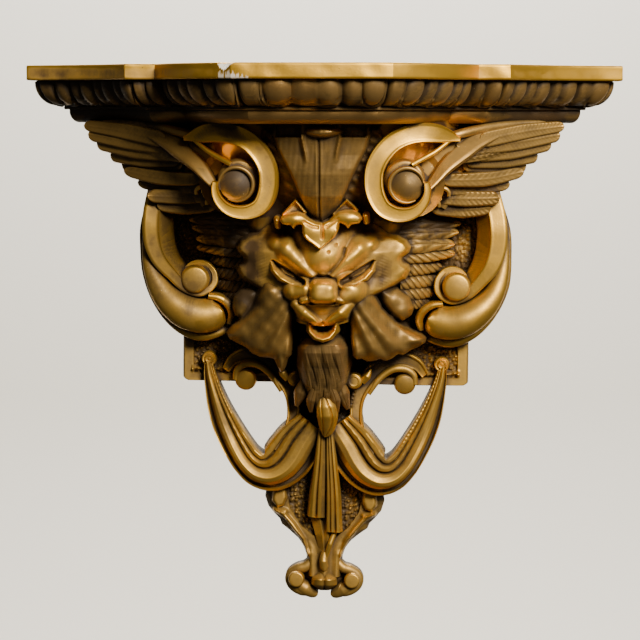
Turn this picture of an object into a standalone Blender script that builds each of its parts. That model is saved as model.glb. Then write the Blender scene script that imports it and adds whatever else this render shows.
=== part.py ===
"""Wall bracket shelf: a gilt plaster casting of a leonine grotesque mask between two wings.

One casting carries everything: a moulded shelf with a band of eggs, two volutes and wings
under it, the mask with its leaf beard, a punched back plate, two swags that leave an
opening each, and a small scrolled drop at the foot.

Metres, +Z up. The wall is the plane y = 0 and the front faces -Y. The origin lies on the
flat back, on the centre line, just under the shelf. The carving is written in carver's
units, shares of its own height: one unit is about a millimetre at this size.
"""

import math

import bmesh
import bpy
import numpy as np

# The shelf: plan and thicknesses
SHELF_WIDTH = 0.453
SHELF_DEPTH = 0.178
END_RETURN = 0.028          # straight stretch of each end, square to the wall
EAR_DEPTH = 0.103           # how far out the small square ears stand
EAR_INNER = 0.115           # from the centre line to the ear's inner corner
EAR_WIDTH = 0.023
FRONT_HALF = 0.052          # half the straight part of the front edge
FRONT_BOW = 0.002           # how much the front edge swells at its middle
END_SPLAY = (24.0, 55.0)    # degrees that the hollow end turns through, wall to ear
BOW_SPLAY = (68.0, 34.0)    # degrees that the bowed side turns through, ear to front
BOARD_THICK = 0.0115
BOARD_EDGE = 0.0014         # rounding of the board's edge
BOARD_OVERHANG = 0.0075
OVOLO_SIZE = 0.0195         # the egg band is a quarter round of this radius
FILLET_HIGH = 0.0025
FILLET_STEP = 0.0035
COVE_OUT = 0.011
COVE_HIGH = 0.0085
EGG_PITCH = 0.0306
EGG_WIDE = 0.020
EGG_SWELL = 0.0022
CHIP_AT = -0.056            # where plaster is missing from the front edge
CHIP_WIDE = 0.017
CHIP_DEEP = 0.0052

# The carving
CARVING_HIGH = 0.3687       # from the shelf's underside to the lowest tip
UNIT = CARVING_HIGH / 365.0
BED_LINE = 16.5             # the shelf's underside in the carving's own units
PLATE_THICK = 0.013
ORIGIN_DROP = 0.060         # from the shelf's top down to the origin
SHELF_HIGH = BOARD_THICK + OVOLO_SIZE + FILLET_HIGH + 0.0015 + COVE_HIGH
BED = ORIGIN_DROP - SHELF_HIGH   # height of the shelf's underside
TUCK = 5.5                  # how far the carving runs up into the shelf, in units

# How finely the casting is meshed
VOXEL = 0.0016
CARVING_TRIANGLES = 6600
HOLLOW_POINTS = 7           # along the hollow end of the plan
BOW_POINTS = 7              # along its bowed side

# Sections: (share of the half width, drop below the crown in half widths)
FLAT = ((-1.0, 0.16), (-0.82, 0.0), (0.82, 0.0), (1.0, 0.16))
ROUND = ((-1.0, 0.95), (-0.86, 0.45), (-0.5, 0.12), (0.0, 0.0), (0.5, 0.12), (0.86, 0.45), (1.0, 0.95))
LENS = ((-1.0, 0.5), (-0.6, 0.18), (0.0, 0.0), (0.6, 0.18), (1.0, 0.5))
HOLLOW = ((-1.0, 0.05), (-0.8, 0.0), (-0.3, 0.3), (0.3, 0.3), (0.8, 0.0), (1.0, 0.05))


def clear_scene():
    for old in list(bpy.data.objects):
        bpy.data.objects.remove(old, do_unlink=True)


def gilt():
    """Bronze-coloured gilding over plaster."""
    material = bpy.data.materials.new("gilt_plaster")
    material.use_nodes = True
    shader = material.node_tree.nodes["Principled BSDF"]
    shader.inputs["Base Color"].default_value = (0.42, 0.24, 0.07, 1.0)
    shader.inputs["Metallic"].default_value = 0.75
    shader.inputs["Roughness"].default_value = 0.42
    return material


def smooth_path(points, count):
    """Even points along a Catmull-Rom curve through the given ones."""
    given = np.array(points, float)
    ends = np.vstack([2 * given[0] - given[1], given, 2 * given[-1] - given[-2]])
    t = np.linspace(0.0, 1.0, 12, endpoint=False)[:, None]
    parts = []
    for a, b, c, d in zip(ends[:-3], ends[1:-2], ends[2:-1], ends[3:]):
        parts.append(0.5 * (2 * b + (c - a) * t + (2 * a - 5 * b + 4 * c - d) * t ** 2
                            + (3 * b - a - 3 * c + d) * t ** 3))
    dense = np.vstack([*parts, given[-1:]])
    along = np.r_[0.0, np.cumsum(np.linalg.norm(np.diff(dense, axis=0), axis=1))]
    even = np.linspace(0.0, along[-1], count)
    return np.column_stack([np.interp(even, along, dense[:, k]) for k in range(dense.shape[1])])


def eased(values, count):
    """Values spread evenly along a path, joined by straight runs."""
    return np.interp(np.linspace(0.0, 1.0, count), np.linspace(0.0, 1.0, len(values)), values)


def put_mesh(name, points, faces, collection):
    """A mesh object from points in metres."""
    mesh = bpy.data.meshes.new(name)
    mesh.from_pydata([tuple(p) for p in points], [], faces)
    made = bpy.data.objects.new(name, mesh)
    collection.objects.link(made)
    shape = bmesh.new()
    shape.from_mesh(mesh)
    bmesh.ops.remove_doubles(shape, verts=shape.verts, dist=1e-6)
    bmesh.ops.recalc_face_normals(shape, faces=shape.faces)
    shape.to_mesh(mesh)
    shape.free()
    return made


def tube_faces(rings, sides):
    """Quads between closed rings of equal length, with a cap at either end."""
    faces = []
    for r in range(rings - 1):
        for s in range(sides):
            t = (s + 1) % sides
            faces.append((r * sides + s, r * sides + t, (r + 1) * sides + t, (r + 1) * sides + s))
    faces.append(tuple(range(sides)))
    faces.append(tuple(range((rings - 1) * sides, rings * sides)))
    return faces


class Carver:
    """Lays closed shapes on the plate, each with its mirror twin unless it is on the centre line."""

    def __init__(self, collection):
        self.collection = collection

    def place(self, name, points, faces, twin):
        """Points are (x, depth, z) in units; depth is measured out from the wall."""
        real = (np.array(points, float) - (0, 0, BED_LINE)) * (UNIT, -UNIT, UNIT) + (0, 0, BED)
        put_mesh(name, real, faces, self.collection)
        if twin:
            put_mesh(name + "_twin", real * (-1.0, 1.0, 1.0), faces, self.collection)

    def strip(self, name, path, half, crown, floor, section=ROUND, count=40, twin=True):
        """A band carried along a path of (x, z), with its half width, crown and floor given along it."""
        line = smooth_path(path, count)
        half, crown, floor = (eased(np.atleast_1d(v), count) for v in (half, crown, floor))
        heading = np.gradient(line, axis=0)
        heading /= np.linalg.norm(heading, axis=1)[:, None]
        across = np.column_stack([-heading[:, 1], heading[:, 0]])
        points = []
        for k in range(count):
            ring = [(-1.0, floor[k])]
            ring += [(a, max(crown[k] - drop * half[k], floor[k] + 0.5)) for a, drop in section]
            ring += [(1.0, floor[k])]
            for share, depth in ring:
                x, z = line[k] + across[k] * share * half[k]
                points.append((x, depth, z))
        self.place(name, points, tube_faces(count, len(section) + 2), twin)

    def disc(self, name, x, z, radius, crown, floor, rim=0.18, sides=28, twin=True):
        """A round boss with an eased rim."""
        turn = np.linspace(0.0, 2 * math.pi, sides, endpoint=False)
        points = []
        for share, depth in ((1.0, floor), (1.0, crown - rim * radius), (1.0 - rim, crown)):
            points += [(x + share * radius * math.cos(t), depth, z + share * radius * math.sin(t)) for t in turn]
        self.place(name, points, tube_faces(3, sides), twin)

    def relief(self, name, low, high, step, floor, surface, twin=False):
        """A block whose front is the height surface(x, z) over a rectangle."""
        nx, nz = (int(round((high[k] - low[k]) / step)) + 1 for k in (0, 1))
        x, z = np.meshgrid(np.linspace(low[0], high[0], nx), np.linspace(low[1], high[1], nz))
        front = np.maximum(surface(x, z), floor + 0.5)
        points = np.column_stack([x.ravel(), front.ravel(), z.ravel()])
        back = np.column_stack([x.ravel(), np.full(x.size, floor), z.ravel()])
        index = np.arange(x.size).reshape(nz, nx)
        quads = np.stack([index[:-1, :-1], index[:-1, 1:], index[1:, 1:], index[1:, :-1]], -1).reshape(-1, 4)
        faces = [tuple(q) for q in quads] + [tuple(q + x.size) for q in quads[:, ::-1]]
        rim = np.concatenate([index[0, :], index[1:, -1], index[-1, -2::-1], index[-2:0:-1, 0]])
        for a, b in zip(rim, np.roll(rim, -1)):
            faces.append((a, b, b + x.size, a + x.size))
        self.place(name, np.vstack([points, back]), faces, twin)

    def slab(self, name, outline, thick, holes=()):
        """A flat plate from an outline in (x, z), cut through by holes."""
        curve = bpy.data.curves.new(name, "CURVE")
        curve.dimensions = "2D"
        curve.fill_mode = "BOTH"
        curve.extrude = thick / 2
        for loop in (outline, *holes):
            spline = curve.splines.new("POLY")
            spline.points.add(len(loop) - 1)
            for point, (x, z) in zip(spline.points, loop):
                point.co = (x * UNIT, (z - BED_LINE) * UNIT + BED, 0.0, 1.0)
            spline.use_cyclic_u = True
        flat = bpy.data.objects.new(name, curve)
        self.collection.objects.link(flat)
        flat.rotation_euler = (math.radians(90.0), 0.0, 0.0)
        flat.location = (0.0, -thick / 2, 0.0)
        bpy.context.view_layer.update()
        graph = bpy.context.evaluated_depsgraph_get()
        mesh = bpy.data.meshes.new_from_object(flat.evaluated_get(graph))
        solid = bpy.data.objects.new(name, mesh)
        solid.matrix_world = flat.matrix_world.copy()
        bpy.data.objects.remove(flat)
        self.collection.objects.link(solid)
        shape = bmesh.new()
        shape.from_mesh(mesh)
        bmesh.ops.remove_doubles(shape, verts=shape.verts, dist=1e-6)
        bmesh.ops.recalc_face_normals(shape, faces=shape.faces)
        shape.to_mesh(mesh)
        shape.free()


def bump(x, z, cx, cz, rx, rz, high, turn=0.0, power=2.0):
    """A soft mound: high times exp(-(r ** power)), r being 1 on the ellipse of radii rx and rz."""
    c, s = math.cos(math.radians(turn)), math.sin(math.radians(turn))
    u, v = (x - cx) * c + (z - cz) * s, (z - cz) * c - (x - cx) * s
    r = np.sqrt((u / rx) ** 2 + (v / rz) ** 2)
    return high * np.exp(-r ** power)


def ridge(x, z, start, end, wide, high):
    """A soft rib: high times exp(-(d / wide) ** 2), d being the distance to the segment."""
    (ax, az), (bx, bz) = start, end
    t = np.clip(((x - ax) * (bx - ax) + (z - az) * (bz - az)) / ((bx - ax) ** 2 + (bz - az) ** 2), 0, 1)
    return high * np.exp(-((x - ax - t * (bx - ax)) ** 2 + (z - az - t * (bz - az)) ** 2) / wide ** 2)


def head_surface(x, z):
    """The mask: a domed head with frown, sunk slanting eyes, blunt nose, lip lobes and open mouth."""
    a = np.abs(x)
    crest = np.interp(-z, (33, 50, 65, 80, 95, 110, 125, 140, 150), (78, 88, 91, 90, 87, 86, 86, 82, 72))
    wide = np.interp(-z, (33, 50, 70, 95, 115, 130, 150), (34, 48, 55, 57, 53, 45, 34))
    h = 12 + (crest - 12) * np.clip(1 - (a / wide) ** 2.6, 0, 1) ** 0.5
    h += bump(a, z, 0, -80, 20, 12, 8)
    h += ridge(a, z, (34, -71), (7, -93), 6.5, 9)
    h -= ridge(a, z, (15, -74), (4, -88), 3, 3)
    h -= ridge(a, z, (15, -99), (38, -88), 5, 10)
    h += bump(a, z, 27, -94, 8, 4.5, 6, turn=25)
    h += ridge(a, z, (17, -101), (28, -99), 2, 3) + ridge(a, z, (28, -99), (39, -88), 2, 3)
    h += ridge(a, z, (0, -99), (0, -110), 8, 12) + bump(a, z, 0, -110, 10, 8, 8)
    h -= ridge(a, z, (11, -99), (12, -112), 2.5, 6)
    h += bump(a, z, 20, -106, 9, 7, 7)
    h += ridge(a, z, (17, -118), (5, -126), 4.5, 9)
    h -= bump(a, z, 0, -121, 8, 3.5, 6)
    h -= bump(a, z, 0, -135, 19, 7, 22, power=4)
    h += bump(a, z, 0, -138, 11, 4, 14)
    return h


def cheek_surface(x, z):
    """A leaf that sweeps from beside the nose down and outward, ending in scallops."""
    fan = np.arctan2(-92 - z, x - 12)
    body = 82 - 0.5 * (x - 18) - 0.25 * (-105 - z) + 2.2 * np.cos(fan * 15)
    upper = -98 - 0.42 * (x - 20)
    lower = -158 + 0.0085 * (x - 26) ** 2 + 4.5 * np.abs(np.sin(fan * 7.5))
    fall = np.clip((upper - z) / 9, 0, 1) ** 0.5
    return np.where((z > lower) & (z < upper), 30 + (body - 30) * fall, 0.0)


def beard_surface(x, z):
    """The leaf beard: it narrows from chin to knot, with a rib down each lock."""
    half = np.interp(-z, (138, 165, 202), (21, 19, 8))
    spread = np.clip(1 - (x / half) ** 4, 0, 1) ** 0.5
    depth = np.interp(-z, (138, 143, 165, 202), (62, 74, 62, 42))
    return spread * (depth + 2.0 * np.cos(x * 2 * math.pi / 9.0))


def leaf_surface(x, z):
    """The acanthus leaf over the brow: wide under the shelf, veined, with a rolled top."""
    half = np.interp(-z, (-16, -9, 2, 30, 48, 58), (30, 37, 29, 18, 11, 3))
    share = np.clip(np.abs(x) / half, 0, 1)
    depth = np.interp(-z, (-16, -4, 30, 58), (121, 117, 108, 98))
    h = depth - 12 * share ** 3 - 2.5 * np.exp(-(x / 2.0) ** 2) - 2.0 * np.cos(share * 3 * math.pi) ** 2
    h += bump(x, z, 0, 10.5, 12, 4, 9, power=4)
    return np.where(np.abs(x) < half, h, 0.0)


def core_surface(x, z):
    """What fills between leaf, volutes and head, falling back towards the foot."""
    a = np.abs(x)
    high = np.interp(-z, (-18, 20, 50, 90, 130), (88, 82, 72, 48, 20))
    wide = np.interp(-z, (-18, 20, 50, 90, 130), (112, 92, 84, 72, 60))
    return high * np.clip(1.6 * (1 - (a / wide) ** 2), 0, 1)


def carve_plate(carver):
    """The punched back plate: rounded flanks above a square-cornered lower field."""
    flank = smooth_path([(118, BED_LINE + TUCK), (128, -10), (132, -33), (137.5, -58), (138.5, -76), (136.5, -100), (127, -124), (109, -145)], 26)
    field = [(109, -178.5), (106, -181.5), (30, -181.5)]
    half = [*map(tuple, flank), *field]
    carver.slab("plate", half + [(-x, z) for x, z in half[::-1]], PLATE_THICK)
    carver.strip("field_border", [(105, -146), (105, -177)], 4, 17, 0, FLAT, count=3)
    carver.strip("field_rail", [(72, -172.5), (106, -172.5)], 3, 18, 0, ROUND, count=6)


def carve_foot(carver):
    """The small scrolled plaque at the foot, with its ears, neck and two curled ends."""
    carver.strip("foot", [(0, -205), (0, -225), (0, -250), (0, -262), (0, -270), (0, -280), (0, -288), (0, -298), (0, -308), (0, -325)],
                 [30, 22, 32, 42, 46, 42, 34, 26, 14, 13.5], 14, 0, FLAT, count=46, twin=False)
    carver.disc("foot_ear", 34, -271.5, 6.5, 19, 0)
    carver.strip("foot_edge", [(44, -279), (36, -286), (26, -292), (18, -301), (14, -314)], 3.5, 18, 0, ROUND, count=24)
    carver.disc("foot_curl", 20.8, -331.5, 8.3, 22, 0)
    carver.strip("foot_hook", [(12, -314), (13, -325), (11.5, -336), (7.5, -344), (3.5, -348)], [5, 7, 8, 5, 3],
                 [18, 20, 20, 16, 12], 0, ROUND, count=20)
    carver.strip("foot_tongue", [(0, -314), (0, -333), (0, -345)], [5, 6, 4], [20, 23, 14], 0, LENS, count=12, twin=False)


def carve_swags(carver):
    """Gathered cloth from a ringed knob down and round to the middle knot."""
    outer = smooth_path([(91, -166), (91.5, -180), (86, -211), (75, -236), (60, -257), (44, -265.5), (28, -259), (15, -242), (4, -222)], 48)
    inner = smooth_path([(85, -166), (80.5, -183), (73, -199), (62, -218), (50, -232), (39, -229), (29, -221), (17, -212), (4, -203)], 48)
    middle, half = (outer + inner) / 2, np.linalg.norm(outer - inner, axis=1) / 2
    folds = [(-1, 0.35), (-0.75, 0.1), (-0.45, 0.3), (-0.15, 0.0), (0.15, 0.3), (0.45, 0.05), (0.7, 0.3), (0.85, 0.2), (1, 0.6)]
    carver.strip("swag", middle[::3], half[::3], [20, 22, 26, 30, 34], 0, folds, count=48)
    carver.disc("knob", 88.5, -164, 6, 27, 0, rim=0.5)
    carver.strip("arch", [(74, -172), (67, -164.5), (57, -161.5), (45, -165), (34, -175), (25, -190), (24, -206), (29, -220)],
                 [4, 5, 6.5, 7, 6.5, 5, 5, 4], [20, 24, 26, 26, 26, 26, 26, 26], 0, HOLLOW, count=40)
    carver.disc("arch_end", 60.5, -180.5, 7.6, 26, 0)
    carver.strip("arch_stem", [(67, -172), (58, -170), (53, -176)], [5, 5, 5], 24, 0, ROUND, count=14)
    carver.strip("tongue", [(0, -168), (0, -190), (0, -215), (0, -235)], [34, 26, 30, 24], [20, 16, 16, 16], 0, FLAT, count=16, twin=False)
    carver.disc("beard_curl", 22.5, -177, 5.5, 34, 0)


def carve_drop(carver):
    """The knot and the cloth that hangs from it."""
    carver.strip("knot", [(0, -190), (0, -202), (0, -216), (0, -222)], [6, 9, 7, 4], [50, 52, 46, 38], 0, ROUND, count=16, twin=False)
    for side, end in ((-1, -284), (1, -292)):
        carver.strip("fold", [(side * 2.5, -214), (side * 4, -240), (side * 5.5, -265), (side * 6.5, end)],
                     [3, 4.2, 5.2, 6.2], [36, 34, 30, 25], 0, [(-1, 0.9), (-0.6, 0.1), (-0.1, 0.5), (0.4, 0), (1, 0.9)], count=24, twin=False)
    carver.strip("drop_end", [(0, -284), (0, -298), (0, -312)], [10, 7, 5], [20, 22, 18], 0, ROUND, count=12, twin=False)


def carve_side_scrolls(carver):
    """On each flank a flat band that curls round a disc, and the horn that swells beside it."""
    carver.strip("scroll_band", [(125, -38), (128, -55), (128, -72), (124, -88), (115, -102), (105, -112), (95, -113.5), (88, -109)],
                 [7, 8, 8, 8, 7.5, 6.5, 5.5, 4], [36, 40, 42, 42, 42, 41, 40, 38], 0, HOLLOW, count=44)
    carver.disc("scroll_disc", 98.5, -103.8, 9.8, 44, 0)
    carver.strip("horn", [(134, -50), (136, -70), (134, -88), (129.5, -105), (121, -119), (108, -129), (94, -132.5), (84, -131)],
                 [2, 2.5, 4, 6.5, 9, 11.5, 13, 10.5], [24, 28, 33, 38, 43, 47, 49, 42], 0, ROUND, count=48)


def carve_volutes(carver):
    """A flat spiral band under each side of the shelf, round a raised eye."""
    eye = np.array((64.0, -28.3))
    turn = np.radians(np.linspace(42, 345, 14))
    outside = np.interp(np.degrees(turn), (42, 90, 135, 180, 225, 270, 315, 345), (51, 44.5, 37, 32.6, 31.6, 24.5, 17.5, 14.5))
    width = np.interp(np.degrees(turn), (42, 60, 90, 250, 345), (1.5, 12, 15.5, 13, 5))
    radius = outside - width / 2
    path = eye + np.column_stack([np.cos(turn), np.sin(turn)]) * radius[:, None]
    carver.strip("volute", path, width / 2, [84, 100, 105, 106, 106, 106, 105], 0, FLAT, count=64)
    carver.disc("volute_pit", eye[0] + 1, eye[1] + 1, 22, 90, 0, sides=36)
    carver.strip("volute_web", [(70, -24), (97, 6)], [14, 1.5], [92, 80], 0, FLAT, count=10)
    carver.disc("volute_eye", eye[0] + 2, eye[1] - 1.5, 12.5, 107, 0)
    carver.strip("volute_ridge", [(73, -16), (84, -6), (98, 7)], [2, 2, 1.5], [100, 94, 84], 0, ROUND, count=12)


def carve_wings(carver):
    """Each wing: a rounded leading arm and five long feathers fanned from it."""
    carver.strip("wing_arm", [(79, -34), (90, -18), (104, -3), (119, 6), (136, 12), (160, 15.5), (184, 17)],
                 [5, 6, 6.5, 6, 5.5, 4.5, 3], [92, 84, 72, 61, 51, 38, 26], 0, ROUND, count=40)
    for k in range(6):
        s = k / 5.0
        root = (118 - 38 * s, 4 - 42 * s)
        tip = ((184, 14), (176, 4), (163, -5), (150, -15), (141, -27), (128, -42))[k]
        bend = ((root[0] + tip[0]) / 2 + 2, (root[1] + tip[1]) / 2 - 3)
        carver.strip("feather", [root, bend, tip], [7, 9, 8.5, 7, 3], [66 + 12 * s, 55, 47 - 2 * s, 38, 27 + 7 * s], 0, LENS, count=24)
    carver.strip("under_wing", [(84, -42), (95, -22), (130, -5), (168, 8)], [16, 22, 18, 8], [58, 50, 38, 22], 0, LENS, count=20)
    for k in range(3):
        carver.strip("dark_feather", [(66, -54 - 10 * k), (84, -53 - 10 * k), (103 - 4 * k, -57 - 9 * k)],
                     [5, 7, 3], [56 - 4 * k, 46 - 3 * k, 26], 0, LENS, count=14)
    for k in range(5):
        carver.strip("finger", [(58, -84 - 9 * k), (72, -84 - 9 * k), (92 - 5 * k, -83 - 9 * k)],
                     [3.5, 4.5, 2.5], [44 - 2 * k, 36 - k, 20], 0, LENS, count=12)


def carve_head(carver):
    """The mask with its crown, temple leaves, cheek leaves and beard, and the leaf above it."""
    carver.relief("core", (-112, -130), (112, BED_LINE + TUCK), 3.0, 0, core_surface)
    carver.relief("head", (-57, -150), (57, -33), 1.5, 0, head_surface)
    carver.relief("cheek", (19, -160), (80, -96), 1.5, 0, cheek_surface, twin=True)
    carver.relief("beard", (-22.5, -202), (22.5, -139), 1.5, 0, beard_surface)
    carver.relief("leaf", (-37, -58), (37, BED_LINE + TUCK), 1.5, 0, leaf_surface)
    carver.strip("crown", [(0, -63), (9, -57), (19, -51), (29, -50)], [7.5, 8, 6.5, 4], [103, 104, 101, 90], 0, ROUND, count=20)
    carver.strip("crown_spike", [(19, -52), (18.5, -45), (18, -38)], [9, 6, 1], [97, 98, 92], 0, LENS, count=10)
    carver.disc("temple", 59, -74, 8, 68, 0, rim=0.7)
    carver.strip("temple_leaf", [(56, -92), (58, -104), (60, -124)], [9, 8, 5], [60, 58, 46], 0, ROUND, count=14)


def turned_arc(start, end, first, last, count):
    """Points from start to end whose heading turns evenly from one angle to the other."""
    heading = np.radians(np.linspace(first, last, 60))
    run = np.cumsum(np.column_stack([-np.cos(heading), np.sin(heading)]), axis=0)
    run = np.vstack([(0.0, 0.0), run])
    share = run / run[-1]
    picks = np.linspace(0, 60, count).round().astype(int)
    return np.array(start) + share[picks] * (np.array(end) - np.array(start))


def shelf_plan():
    """Half the shelf's outline from wall to middle, as (x, distance from the wall), with its corners marked."""
    half = SHELF_WIDTH / 2
    ear = EAR_INNER + EAR_WIDTH
    hollow = turned_arc((half, END_RETURN), (ear, EAR_DEPTH), *END_SPLAY, HOLLOW_POINTS)
    bow = turned_arc((EAR_INNER, EAR_DEPTH), (FRONT_HALF, SHELF_DEPTH - FRONT_BOW), *BOW_SPLAY, BOW_POINTS)
    share = np.linspace(0, 1, 4)[1:]
    front = np.column_stack([FRONT_HALF * (1 - share), SHELF_DEPTH - FRONT_BOW * (1 - share) ** 2])
    return np.vstack([[(half, 0.0)], hollow, bow, front])


def set_in(outline, distance):
    """The outline moved in by a distance, with mitred corners; its ends slide along the wall."""
    step = np.diff(outline, axis=0)
    step /= np.linalg.norm(step, axis=1)[:, None]
    normal = np.column_stack([-step[:, 1], step[:, 0]])
    before, after = np.vstack([normal[:1], normal]), np.vstack([normal, normal[-1:]])
    return outline + distance * (before + after) / (1 + np.sum(before * after, axis=1))[:, None]


def shelf_profile():
    """(height under the top, set-in) from the top's edge to the foot of the cove."""
    e, t = BOARD_EDGE, BOARD_THICK
    points = [(0.0, e), (e * 0.3, e * 0.3), (e, 0.0), (t - e, 0.0), (t - e * 0.3, e * 0.3), (t, e), (t, BOARD_OVERHANG)]
    for angle in np.radians(np.linspace(0, 90, 5)):
        points.append((t + OVOLO_SIZE * math.sin(angle), BOARD_OVERHANG + OVOLO_SIZE * (1 - math.cos(angle))))
    drop, out = points[-1]
    points += [(drop + FILLET_HIGH, out), (drop + FILLET_HIGH, out + FILLET_STEP)]
    drop, out = points[-1]
    drop += 0.0015
    points.append((drop, out))
    for angle in np.radians(np.linspace(0, 90, 4))[1:]:
        points.append((drop + COVE_HIGH * math.sin(angle), out + COVE_OUT * (1 - math.cos(angle))))
    return points


def build_shelf(collection):
    """The moulded shelf: the profile carried round the plan and closed flat at the wall."""
    half = shelf_plan()
    plan = np.vstack([half, half[-2::-1] * (-1, 1)])
    rings = []
    for drop, inward in shelf_profile():
        ring = set_in(plan, inward)
        rings.append(np.column_stack([ring[:, 0], -ring[:, 1], np.full(len(ring), ORIGIN_DROP - drop)]))
    return put_mesh("shelf", np.vstack(rings), tube_faces(len(rings), len(plan)), collection)


def build_eggs(collection):
    """Eggs in a row along the quarter round, each stretch of the plan filled evenly."""
    half = shelf_plan()
    middle = set_in(half, BOARD_OVERHANG + OVOLO_SIZE * 0.32)
    height = ORIGIN_DROP - BOARD_THICK - OVOLO_SIZE * 0.52
    ear, front = HOLLOW_POINTS, HOLLOW_POINTS + BOW_POINTS
    runs = (middle[1:ear + 1], middle[ear:ear + 2], middle[ear + 1:front + 1],
            np.vstack([middle[front:], middle[-2:front - 1:-1] * (-1, 1)]))
    for number, run in enumerate(runs):
        along = np.r_[0.0, np.cumsum(np.linalg.norm(np.diff(run, axis=0), axis=1))]
        count = max(1, round(along[-1] / EGG_PITCH))
        for k in range(count):
            at = (k + 0.5) * along[-1] / count
            x, y = (np.interp(at, along, run[:, c]) for c in (0, 1))
            after = int(np.searchsorted(along, at))
            dx, dy = run[after] - run[after - 1]
            for mirror in ((1,) if number == 3 else (1, -1)):
                place_egg(collection, x * mirror, -y, height, math.atan2(-dy, dx * mirror))


def move_to(thing, collection):
    """Leaves an object in one collection only."""
    for owner in list(thing.users_collection):
        owner.objects.unlink(thing)
    collection.objects.link(thing)


def place_egg(collection, x, y, z, turn):
    """One egg, leaning back with the slope of the quarter round."""
    bpy.ops.mesh.primitive_uv_sphere_add(segments=8, ring_count=5, radius=1.0, location=(x, y, z))
    egg = bpy.context.active_object
    egg.name = "egg"
    egg.scale = (EGG_WIDE / 2, OVOLO_SIZE * 0.2 + EGG_SWELL, OVOLO_SIZE * 0.6)
    lean = math.radians(40.0)
    out = 1.0 if math.cos(turn) > 0 else -1.0
    egg.rotation_euler = (out * lean, 0.0, turn)
    move_to(egg, collection)


def build_chip(collection):
    """What is missing from the front edge of the board."""
    front = -SHELF_DEPTH - CHIP_WIDE / 2 + CHIP_DEEP
    bpy.ops.mesh.primitive_cylinder_add(vertices=7, radius=CHIP_WIDE / 2, depth=BOARD_THICK,
                                        location=(CHIP_AT, front, ORIGIN_DROP), rotation=(math.radians(-35.0), 0.0, 0.0))
    chip = bpy.context.active_object
    chip.name = "chip"
    move_to(chip, collection)
    return chip


def joined(name, objects):
    """All the objects as one mesh object, overlapping as they are."""
    for other in bpy.context.selected_objects:
        other.select_set(False)
    for one in objects:
        one.select_set(True)
    bpy.context.view_layer.objects.active = objects[0]
    bpy.ops.object.join()
    whole = bpy.context.active_object
    whole.name = name
    return whole


def apply_modifier(body, kind, **settings):
    modifier = body.modifiers.new(kind.title(), kind)
    for key, value in settings.items():
        setattr(modifier, key, value)
    bpy.context.view_layer.objects.active = body
    bpy.ops.object.modifier_apply(modifier=modifier.name)


def below_wall(collection):
    """A block behind the wall plane, which cuts the casting's back flat."""
    bpy.ops.mesh.primitive_cube_add(size=1.0, location=(0.0, 0.5, 0.0))
    block = bpy.context.active_object
    move_to(block, collection)
    return block


def unite(body, other):
    """Joins another closed shape to the body. The exact solver leaves open edges along the eggs."""
    apply_modifier(body, "BOOLEAN", operation="UNION", solver="MANIFOLD", object=other)


def cut(body, tool):
    """Takes a closed shape away from the body."""
    apply_modifier(body, "BOOLEAN", operation="DIFFERENCE", solver="MANIFOLD", object=tool)


def main():
    clear_scene()
    scene = bpy.context.scene
    bench = bpy.data.collections.new("cutters")
    finished = bpy.data.collections.new("wall_bracket_shelf")
    scene.collection.children.link(bench)
    scene.collection.children.link(finished)

    carver = Carver(bench)
    for carve in (carve_plate, carve_foot, carve_swags, carve_drop, carve_side_scrolls,
                  carve_volutes, carve_wings, carve_head):
        carve(carver)
    carving = joined("carving", list(bench.objects))
    carving.data.transform(carving.matrix_world)
    carving.matrix_world.identity()
    apply_modifier(carving, "REMESH", mode="VOXEL", voxel_size=VOXEL)
    apply_modifier(carving, "DECIMATE", ratio=CARVING_TRIANGLES / (2 * len(carving.data.polygons)))

    bracket = build_shelf(bench)
    eggs = bpy.data.collections.new("eggs")
    bench.children.link(eggs)
    build_eggs(eggs)
    unite(bracket, joined("eggs", list(eggs.objects)))
    cut(bracket, build_chip(bench))
    unite(bracket, carving)
    cut(bracket, below_wall(bench))
    bracket.name = "bracket"
    bracket.data.name = "bracket"
    bracket.data.materials.clear()
    bracket.data.materials.append(gilt())
    move_to(bracket, finished)
    for left in list(bench.all_objects):
        bpy.data.objects.remove(left, do_unlink=True)
    print("triangles", sum(len(face.vertices) - 2 for face in bracket.data.polygons))


main()
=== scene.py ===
"""Looks of the gilt plaster wall bracket shelf: one casting with a moulded shelf, wings and a
grotesque mask.

The relief is laid out in carver's units, about a millimetre each, as (x, depth from the wall, height),
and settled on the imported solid's own box.
"""
import math

import bpy
import numpy as np
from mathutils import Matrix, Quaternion, Vector


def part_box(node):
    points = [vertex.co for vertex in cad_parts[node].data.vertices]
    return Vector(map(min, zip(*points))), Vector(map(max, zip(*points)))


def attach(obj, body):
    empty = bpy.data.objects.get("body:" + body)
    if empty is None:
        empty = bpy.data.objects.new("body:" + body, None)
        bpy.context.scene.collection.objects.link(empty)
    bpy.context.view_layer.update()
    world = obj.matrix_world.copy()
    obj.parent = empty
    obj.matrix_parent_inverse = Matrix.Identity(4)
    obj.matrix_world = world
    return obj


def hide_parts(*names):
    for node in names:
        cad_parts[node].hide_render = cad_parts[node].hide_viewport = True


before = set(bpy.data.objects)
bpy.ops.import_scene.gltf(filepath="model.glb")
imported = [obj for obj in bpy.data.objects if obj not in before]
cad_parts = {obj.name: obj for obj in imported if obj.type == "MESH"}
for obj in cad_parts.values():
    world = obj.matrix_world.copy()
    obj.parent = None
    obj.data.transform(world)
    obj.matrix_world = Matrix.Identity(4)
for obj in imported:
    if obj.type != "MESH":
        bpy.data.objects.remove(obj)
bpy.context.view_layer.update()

# The shelf
# A moulded plaster board: fascia, a quarter round carved with eggs, a fillet and a cove.
# Its plan has hollow ends, small square ears and a bowed front. The front edge is chipped.
solid_low, solid_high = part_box("bracket")
SHELF_HALF = solid_high.x
SHELF_DEEP = -solid_low.y
SHELF_TOP = solid_high.z
END_RETURN = 0.028
EAR_DEPTH = 0.103
EAR_INNER = 0.115
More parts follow.
